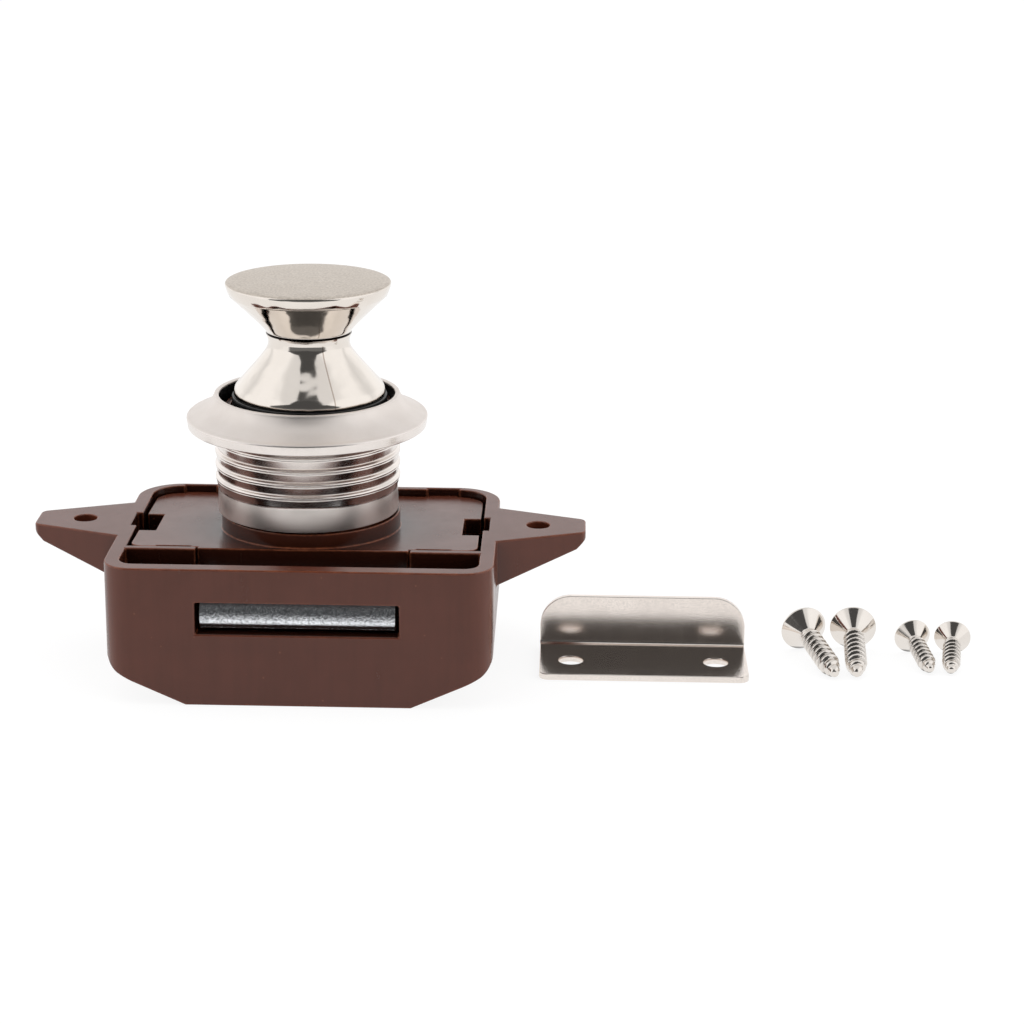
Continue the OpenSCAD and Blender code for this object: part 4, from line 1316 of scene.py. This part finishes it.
@dataclass
class Drive:
    """The bolt, the carrier that drives it, the springs and the hold-in latch, in millimetres."""

    floor_z: float = -17.2
    main_length: float = 29.6
    main_d: float = 4.6
    main_wire: float = 0.6
    main_turns: int = 14
    pocket_y: float = -2.4
    spring_x: float = 6.775
    spring_z: float = -6.775
    bolt_spring_length: float = 12.2
    bolt_spring_d: float = 2.8
    bolt_spring_wire: float = 0.4
    bolt_spring_turns: int = 9
    press_travel: float = 15.0
    slam_travel: float = 5.0
    face_rows: int = 12
    face_margin: float = 0.2
    face_y: float = -20.3
    face_round: float = 0.5
    face_drop: float = 0.4
    bolt_top: float = -4.8
    bolt_bottom: float = -8.75
    bolt_edge: float = 0.18
    carrier_edge: float = 0.15
    wire_edge: float = 0.06
    wire_crease_deg: float = 60.0

    def bolt(self) -> bmesh.types.BMesh:
        """Gives the bolt with rounded edges and a face that is rounded from top to bottom.

        Returns:
            The mesh, in metres.
        """
        bm = softened("latch_bolt", self.bolt_edge)
        half = (self.bolt_top - self.bolt_bottom) / 2
        middle = self.bolt_top - half
        flat = 2 * half - 2 * self.face_margin
        for i in range(1, self.face_rows):
            z = self.bolt_bottom + self.face_margin + flat * i / self.face_rows
            bmesh.ops.bisect_plane(bm, geom=[*bm.verts, *bm.edges, *bm.faces], plane_co=(0.0, 0.0, z * MM),
                                   plane_no=(0.0, 0.0, 1.0))
        for vert in bm.verts:
            off_middle = (vert.co.z * PER_M - middle + self.face_drop) / half
            if vert.co.y * PER_M < self.face_y:
                vert.co.y += self.face_round * off_middle ** 2 * MM
        mark_creases(bm, SOFT_CREASE_DEG)
        return bm

    def springs(self) -> list[CoilSpring]:
        """Gives the main spring and the two bolt springs.

        Returns:
            The springs, not yet made.
        """
        made = [CoilSpring("main_spring", Vector((0, 0, 1)), Vector((0, 0, self.floor_z)), self.main_length,
                           self.main_d, self.main_wire, self.main_turns, "knob_press", self.press_travel,
                           Seat.CASE)]
        for side, word in ((-1, "left"), (1, "right")):
            pocket = Vector((side * self.spring_x, self.pocket_y, self.spring_z))
            made.append(CoilSpring(f"bolt_spring_{word}", Vector((0, -1, 0)), pocket,
                                   self.bolt_spring_length, self.bolt_spring_d, self.bolt_spring_wire,
                                   self.bolt_spring_turns, "bolt_slam", self.slam_travel, Seat.CARRIER))
        return made

    def build(self, finishes: dict[str, bpy.types.Material]) -> None:
        """Makes the bolt, carrier, springs and latch wire, and dresses the leaf spring.

        Args:
            finishes: The materials, by a plain word.
        """
        even_shading(new_piece(self.bolt(), "latch_bolt_plated", Seat.BOLT, finishes["barrel"],
                               ["latch_bolt"]))
        even_shading(new_piece(softened("bolt_carrier", self.carrier_edge), "bolt_carrier_moulding",
                               Seat.CARRIER, finishes["white"], ["bolt_carrier"]))
        for spring in self.springs():
            spring.build(finishes["steel"])
        new_piece(softened("latch_wire", self.wire_edge, self.wire_crease_deg), "latch_wire_bent",
                  Seat.LATCH, finishes["steel"], ["latch_wire"])
        dress_node("wire_spring", finishes["steel"])


@dataclass
class Strike:
    """The bent strike plate, in millimetres, whose upright leans back a little from the bend."""

    edge: float = 0.1
    base: float = 0.9
    lean_deg: float = 1.2

    def build(self, finish: bpy.types.Material) -> None:
        """Makes the plate with its sheared edges rounded.

        Args:
            finish: Its material.
        """
        bm = softened("strike_plate", self.edge)
        bend_z = FLOOR_Z + self.base * MM
        slope = math.tan(math.radians(self.lean_deg))
        for vert in bm.verts:
            vert.co.y += max(0.0, vert.co.z - bend_z) * slope
        even_shading(new_piece(bm, "strike_plate_pressed", Seat.STRIKE, finish,
                               ["strike_plate"]))


@dataclass
class Screw:
    """A countersunk self-tapping screw that lies on its head and thread, in millimetres.

    The shares are of the thread's diameter, its pitch, the head or the recess that they shape.
    """

    node: str
    seat: Seat
    diameter: float
    head_d: float
    length: float
    x: float
    y: float
    turn_deg: float
    segments: int = 48
    crisp_deg: float = 45.0
    core_share: float = 0.73
    head_share: float = 0.66
    pitch_share: float = 0.38
    tip_share: float = 0.22
    rim_share: float = 0.1
    rows_per_pitch: int = 22
    tooth_rise: float = 0.14
    tooth_end: float = 0.85
    tooth_fall: float = 0.5
    tip_core: float = 0.3
    tip_thread: float = 0.1
    tip_left: float = 0.05
    face_share: float = 0.97
    face_round: float = 0.1
    rim_round: float = 0.08
    neck_round: float = 0.25
    neck_length: float = 0.3
    thread_gap: float = 0.35
    edge_steps: int = 4
    recess_rows: int = 16
    cross_reach: float = 0.27
    cross_half: float = 0.075
    cross_depth: float = 0.62
    cross_taper: float = 0.3
    cross_wall: float = 0.25
    cross_fade: float = 0.35

    @property
    def radius(self) -> float:
        """Gives the thread's outer radius."""
        return self.diameter / 2

    @property
    def core_r(self) -> float:
        """Gives the radius of the shank between the threads."""
        return self.radius * self.core_share

    @property
    def pitch(self) -> float:
        """Gives the distance from thread to thread."""
        return self.diameter * self.pitch_share

    @property
    def rim(self) -> float:
        """Gives the height of the head's upright rim."""
        return self.diameter * self.rim_share

    @property
    def head_h(self) -> float:
        """Gives the height of the countersunk head."""
        return (self.head_d - self.diameter) * self.head_share

    def thread_radius(self, z: float, angle: float) -> float:
        """Gives the shank's radius at a place, thread included.

        Args:
            z: The height, 0 at the head's face and falling to the tip.
            angle: The angle round the axis, in radians.

        Returns:
            The radius.
        """
        taper = unit((z + self.length) / (self.length * self.tip_share))
        along = (z / self.pitch - angle / (2 * math.pi)) % 1.0
        tooth = unit(min(along / self.tooth_rise, (self.tooth_end - along) / self.tooth_fall))
        started = unit((-self.head_h - z) / self.pitch)
        body = self.core_r * (self.tip_core + (1.0 - self.tip_core) * taper ** 0.5)
        return body + (self.radius - self.core_r) * tooth * started * min(1.0, self.tip_thread + taper)

    def recess_depth(self, x: float, y: float) -> float:
        """Gives how deep the cross recess is at a place on the head.

        Args:
            x: The place along one arm.
            y: The place along the other arm.

        Returns:
            The depth, 0 outside the recess.
        """
        reach = self.head_d * self.cross_reach
        half = self.head_d * self.cross_half
        deepest = self.head_h * self.cross_depth
        depth = 0.0
        for along, across in ((abs(x), abs(y)), (abs(y), abs(x))):
            width = half * (1.0 - self.cross_taper * along / reach)
            inside = unit((width - across) / (self.cross_wall * half))
            fade = unit((reach - along) / (self.cross_fade * reach))
            depth = max(depth, deepest * inside * fade)
        return depth

    def rows(self) -> list[Callable[[float], Pair]]:
        """Gives the rows of points, from the head's face to the tip.

        Returns:
            For each row, a function from the angle to the radius and height there.
        """
        head_r = self.head_d / 2
        face_r = head_r * self.face_share
        made: list[Callable[[float], Pair]] = []
        for i in range(1, self.recess_rows + 1):
            r = face_r * i / self.recess_rows
            made.append(lambda a, r=r: (r, -self.recess_depth(r * math.cos(a), r * math.sin(a))))
        edge = rounded([(face_r, 0.0, 0), (head_r, 0.0, self.face_round),
                        (head_r, -self.rim, self.rim_round), (self.core_r, -self.head_h, self.neck_round),
                        (self.core_r, -self.head_h - self.neck_length, 0)], self.edge_steps)
        made += [lambda a, r=r, z=z: (r, z) for r, z in edge[1:]]
        start = -self.head_h - self.thread_gap
        step = self.pitch / self.rows_per_pitch
        count = int((self.length + start - self.tip_left) / step)
        for i in range(count):
            z = start - i * step
            made.append(lambda a, z=z: (self.thread_radius(z, a), z))
        return made

    def placed(self) -> Matrix:
        """Gives the matrix that lays the screw down on the floor.

        Returns:
            The matrix, in metres.
        """
        rests_at = self.length * (1 - self.tip_share)
        lean = math.atan2((self.head_d - self.diameter) / 2, rests_at - self.rim)
        z = self.head_d / 2 * math.cos(lean) + self.rim * math.sin(lean)
        place = Matrix.Translation((self.x * MM, self.y * MM, FLOOR_Z + z * MM))
        turned = Matrix.Rotation(math.radians(self.turn_deg), 4, "Z")
        return place @ turned @ Matrix.Rotation(lean - math.pi / 2, 4, "X")

    def build(self, finish: bpy.types.Material) -> None:
        """Makes the screw.

        Args:
            finish: Its material.
        """
        bm = bmesh.new()
        lay = self.placed()
        crown = bm.verts.new(lay @ Vector((0, 0, -self.recess_depth(0, 0) * MM)))
        rings = []
        for row in self.rows():
            ring = []
            for a in full_turn(self.segments):
                r, z = row(a)
                ring.append(bm.verts.new(lay @ Vector((r * math.cos(a) * MM, r * math.sin(a) * MM, z * MM))))
            rings.append(ring)
        tip = bm.verts.new(lay @ Vector((0, 0, -self.length * MM)))
        for k in range(self.segments):
            nxt = (k + 1) % self.segments
            bm.faces.new([crown, rings[0][k], rings[0][nxt]])
            bm.faces.new([tip, rings[-1][nxt], rings[-1][k]])
            for upper, lower in zip(rings, rings[1:]):
                bm.faces.new([upper[k], lower[k], lower[nxt], upper[nxt]])
        bmesh.ops.recalc_face_normals(bm, faces=bm.faces)
        mark_creases(bm, self.crisp_deg)
        new_piece(bm, self.node + "_threaded", self.seat, finish, [self.node])


@dataclass
class ScrewSet:
    """The two larger and the two smaller screws, in millimetres."""

    screws: list[Screw] = field(default_factory=lambda: [
        Screw("housing_screw_left", Seat.HOUSING_SCREWS, 3.0, 6.4, 13.0, 68.05, 3.8, 16.0),
        Screw("housing_screw_right", Seat.HOUSING_SCREWS, 3.0, 6.4, 13.0, 75.05, 4.4, -2.6),
        Screw("strike_screw_left", Seat.STRIKE_SCREWS, 2.5, 5.0, 9.5, 83.15, 3.2, 9.5),
        Screw("strike_screw_right", Seat.STRIKE_SCREWS, 2.5, 5.0, 9.5, 88.75, 3.0, -8.3),
    ])

    def build(self, finish: bpy.types.Material) -> None:
        """Makes every screw."""
        for screw in self.screws:
            screw.build(finish)


# Studio


@dataclass
class Studio:
    """Floor, light, white surroundings and the camera, in millimetres and degrees.

    The surroundings are laid out by direction: each pair is where a change starts and ends, as a part of
    the unit vector that points there.
    """

    camera_at: Place = (34.53, -344.50, 109.76)
    pitch: float = 17.401
    yaw: float = -1.184
    roll: float = 0.551
    lens: float = 93.085
    sensor: float = 36.0
    clip_start: float = 10.0
    floor_half: float = 3000.0
    floor_gap: float = 0.02
    paper_tone: float = 0.78
    shadow_tone: float = 0.16
    paper_glow: float = 0.88
    sheet_end: float = -104.0
    sheet_fade: Pair = (8.0, 4.0)
    sheet_back: float = -44.0
    sheet_tones: Pair = (1.05, 0.98)
    room_spread: Pair = (1.0, 1.4)
    room_tone: float = 0.16
    wall_tone: float = 1.1
    wall_aside: Pair = (0.4, 0.7)
    wall_ahead: Pair = (-0.55, -0.2)
    back_tone: float = 0.84
    horizon_up: Pair = (0.2, 0.6)
    horizon_ahead: Pair = (-0.7, -0.3)
    opening_tone: float = 0.09
    opening_slope: float = 0.7
    opening_edge: Pair = (-0.04, 0.08)
    opening_ahead: Pair = (0.48, 0.62)
    gap_slope: float = 0.55
    gap_edge: Pair = (-0.05, 0.02)
    gap_up: Pair = (0.91, 0.92)
    gap_ahead: Pair = (0.1, 0.25)
    key_at: Place = (-120.0, 60.0, 520.0)
    key_size: float = 420.0
    key_power: float = 0.4
    side_at: Place = (420.0, -60.0, 150.0)
    side_size: float = 300.0
    side_power: float = 0.5

    def camera(self) -> None:
        """Puts the camera where the photograph was taken from."""
        pitch, yaw, roll = (math.radians(a) for a in (self.pitch, self.yaw, self.roll))
        ahead = Vector((math.sin(yaw) * math.cos(pitch), math.cos(yaw) * math.cos(pitch), -math.sin(pitch)))
        right = Vector((math.cos(yaw), -math.sin(yaw), 0.0))
        up = right.cross(ahead)
        side = math.cos(roll) * right + math.sin(roll) * up
        over = math.cos(roll) * up - math.sin(roll) * right
        data = bpy.data.cameras.new("camera")
        data.lens = self.lens
        data.sensor_width = self.sensor
        data.clip_start = self.clip_start * MM
        eye = bpy.data.objects.new("camera", data)
        turn = Matrix((side, over, -ahead)).transposed().to_4x4()
        eye.matrix_world = Matrix.Translation(Vector(self.camera_at) * MM) @ turn
        bpy.context.scene.collection.objects.link(eye)
        bpy.context.scene.camera = eye

    def floor(self) -> None:
        """Lays a pale floor that is white to the eye and keeps the shadow."""
        bm = bmesh.new()
        bmesh.ops.create_grid(bm, x_segments=1, y_segments=1, size=self.floor_half * MM,
                              matrix=Matrix.Translation((0, 0, FLOOR_Z - self.floor_gap * MM)))
        mesh = bpy.data.meshes.new("floor")
        bm.to_mesh(mesh)
        bm.free()
        mesh.materials.append(self.floor_finish())
        ground = bpy.data.objects.new("floor", mesh)
        bpy.context.scene.collection.objects.link(ground)

    def floor_finish(self) -> bpy.types.Material:
        """Makes the floor's material: white paper, which bright metal shows as a sheet before a dark room.

        Returns:
            The material.
        """
        material = bpy.data.materials.new("floor_paper")
        material.use_nodes = True
        material.node_tree.nodes.clear()
        w = Wiring(material.node_tree)
        path = w.node("LightPath")
        plain = w.node("BsdfDiffuse", Color=(*[self.paper_tone] * 3, 1.0))
        lit = w.node("BsdfDiffuse", Color=(*[self.shadow_tone] * 3, 1.0))
        white = w.node("Emission", Color=WHITE_LIGHT, Strength=self.paper_glow)
        seen = w.node("AddShader")
        w.feed(seen.inputs[0], lit.outputs[0])
        w.feed(seen.inputs[1], white.outputs[0])
        mirrored = w.node("Emission", Color=WHITE_LIGHT, Strength=self.mirrored_tone(w))
        by_gloss = w.node("MixShader", Fac=w.math("MAXIMUM", path.outputs["Is Glossy Ray"],
                                                   path.outputs["Is Transmission Ray"]))
        w.feed(by_gloss.inputs[1], plain.outputs[0])
        w.feed(by_gloss.inputs[2], mirrored.outputs[0])
        by_eye = w.node("MixShader", Fac=path.outputs["Is Camera Ray"])
        w.feed(by_eye.inputs[1], by_gloss.outputs[0])
        w.feed(by_eye.inputs[2], seen.outputs[0])
        w.node("OutputMaterial", Surface=by_eye.outputs[0])
        return material

    def mirrored_tone(self, w: Wiring) -> Socket:
        """Gives how bright the floor is in bright metal: the sheet, and the dark room past its front end.

        Args:
            w: The floor's wiring.

        Returns:
            The brightness.
        """
        place = w.node("SeparateXYZ", Vector=w.place_mm())
        back = place.outputs["Y"]
        before, after = self.sheet_fade
        sheet = w.span(back, self.sheet_end + after, self.sheet_back, *self.sheet_tones)
        aside = w.math("DIVIDE", w.math("ABSOLUTE", place.outputs["X"]), w.times(back, -1.0))
        ahead = w.fall(back, self.sheet_end - before, self.sheet_end + after)
        room = w.times(ahead, w.fall(aside, *self.room_spread))
        return w.times(sheet, w.span(room, 0.0, 1.0, 1.0, self.room_tone))

    def surroundings(self) -> None:
        """Makes a white tent round the object, open to a dark room in front."""
        world = bpy.data.worlds.new("studio")
        world.use_nodes = True
        world.node_tree.nodes.clear()
        w = Wiring(world.node_tree)
        way = w.node("SeparateXYZ", Vector=w.node("TexCoord").outputs["Generated"])
        ahead = w.times(way.outputs["Y"], -1.0)
        aside = w.math("ABSOLUTE", way.outputs["X"])
        up = way.outputs["Z"]
        walls = w.times(w.span(aside, *self.wall_aside), w.span(ahead, *self.wall_ahead))
        horizon = w.times(w.fall(up, *self.horizon_up), w.fall(ahead, *self.horizon_ahead))
        tone = w.span(w.math("MAXIMUM", walls, horizon), 0.0, 1.0, self.back_tone, self.wall_tone)
        peak = w.math("SUBTRACT", ahead, w.times(aside, self.opening_slope))
        low = w.span(w.math("SUBTRACT", peak, up), *self.opening_edge)
        opening = w.times(low, w.span(ahead, *self.opening_ahead))
        beside = w.math("SUBTRACT", aside, w.times(ahead, self.gap_slope))
        gap = w.times(w.fall(beside, *self.gap_edge), w.fall(up, *self.gap_up))
        opening = w.math("MAXIMUM", opening, w.times(gap, w.span(ahead, *self.gap_ahead)))
        soft = w.times(tone, w.span(opening, 0.0, 1.0, 1.0, self.opening_tone))
        strength = w.math("MAXIMUM", soft, w.node("LightPath").outputs["Is Camera Ray"])
        sky = w.node("Background", Color=WHITE_LIGHT, Strength=strength)
        w.node("OutputWorld", Surface=sky.outputs[0])
        bpy.context.scene.world = world

    def lamp(self, name: str, at: Place, size: float, power: float) -> None:
        """Hangs a soft square lamp that faces the object and doesn't show in bright metal.

        Args:
            name: The lamp's name.
            at: Where it hangs.
            size: Its side.
            power: Its power in watts.
        """
        data = bpy.data.lights.new(name, "AREA")
        data.size = size * MM
        data.energy = power
        lamp = bpy.data.objects.new(name, data)
        lamp.location = Vector(at) * MM
        lamp.rotation_euler = (-lamp.location).to_track_quat("-Z", "Y").to_euler()
        lamp.visible_glossy = False
        lamp.visible_camera = False
        bpy.context.scene.collection.objects.link(lamp)

    def build(self) -> None:
        """Sets up the whole studio."""
        self.camera()
        self.floor()
        self.surroundings()
        self.lamp("key", self.key_at, self.key_size, self.key_power)
        for word, side in (("left", -1.0), ("right", 1.0)):
            at = (side * self.side_at[0], self.side_at[1], self.side_at[2])
            self.lamp("side_" + word, at, self.side_size, self.side_power)
        settings = bpy.context.scene.view_settings
        settings.view_transform = "Standard"


def main() -> None:
    """Builds the studio and every piece of the lock."""
    logging.basicConfig(level=logging.INFO, format="%(message)s")
    Studio().build()
    finishes = {"black": BLACK.build(), "white": WHITE.build(), "steel": STEEL.build(), "zinc": ZINC.build(),
                "barrel": BARREL_ZINC.build()}
    Case().build(BROWN.build())
    Collar().build(SATIN_NICKEL)
    Knob().build(BRIGHT_NICKEL, finishes)
    Drive().build(finishes)
    Strike().build(SHEET_NICKEL.build())
    ScrewSet().build(SCREW_NICKEL.build())


if __name__ == "__main__":
    main()
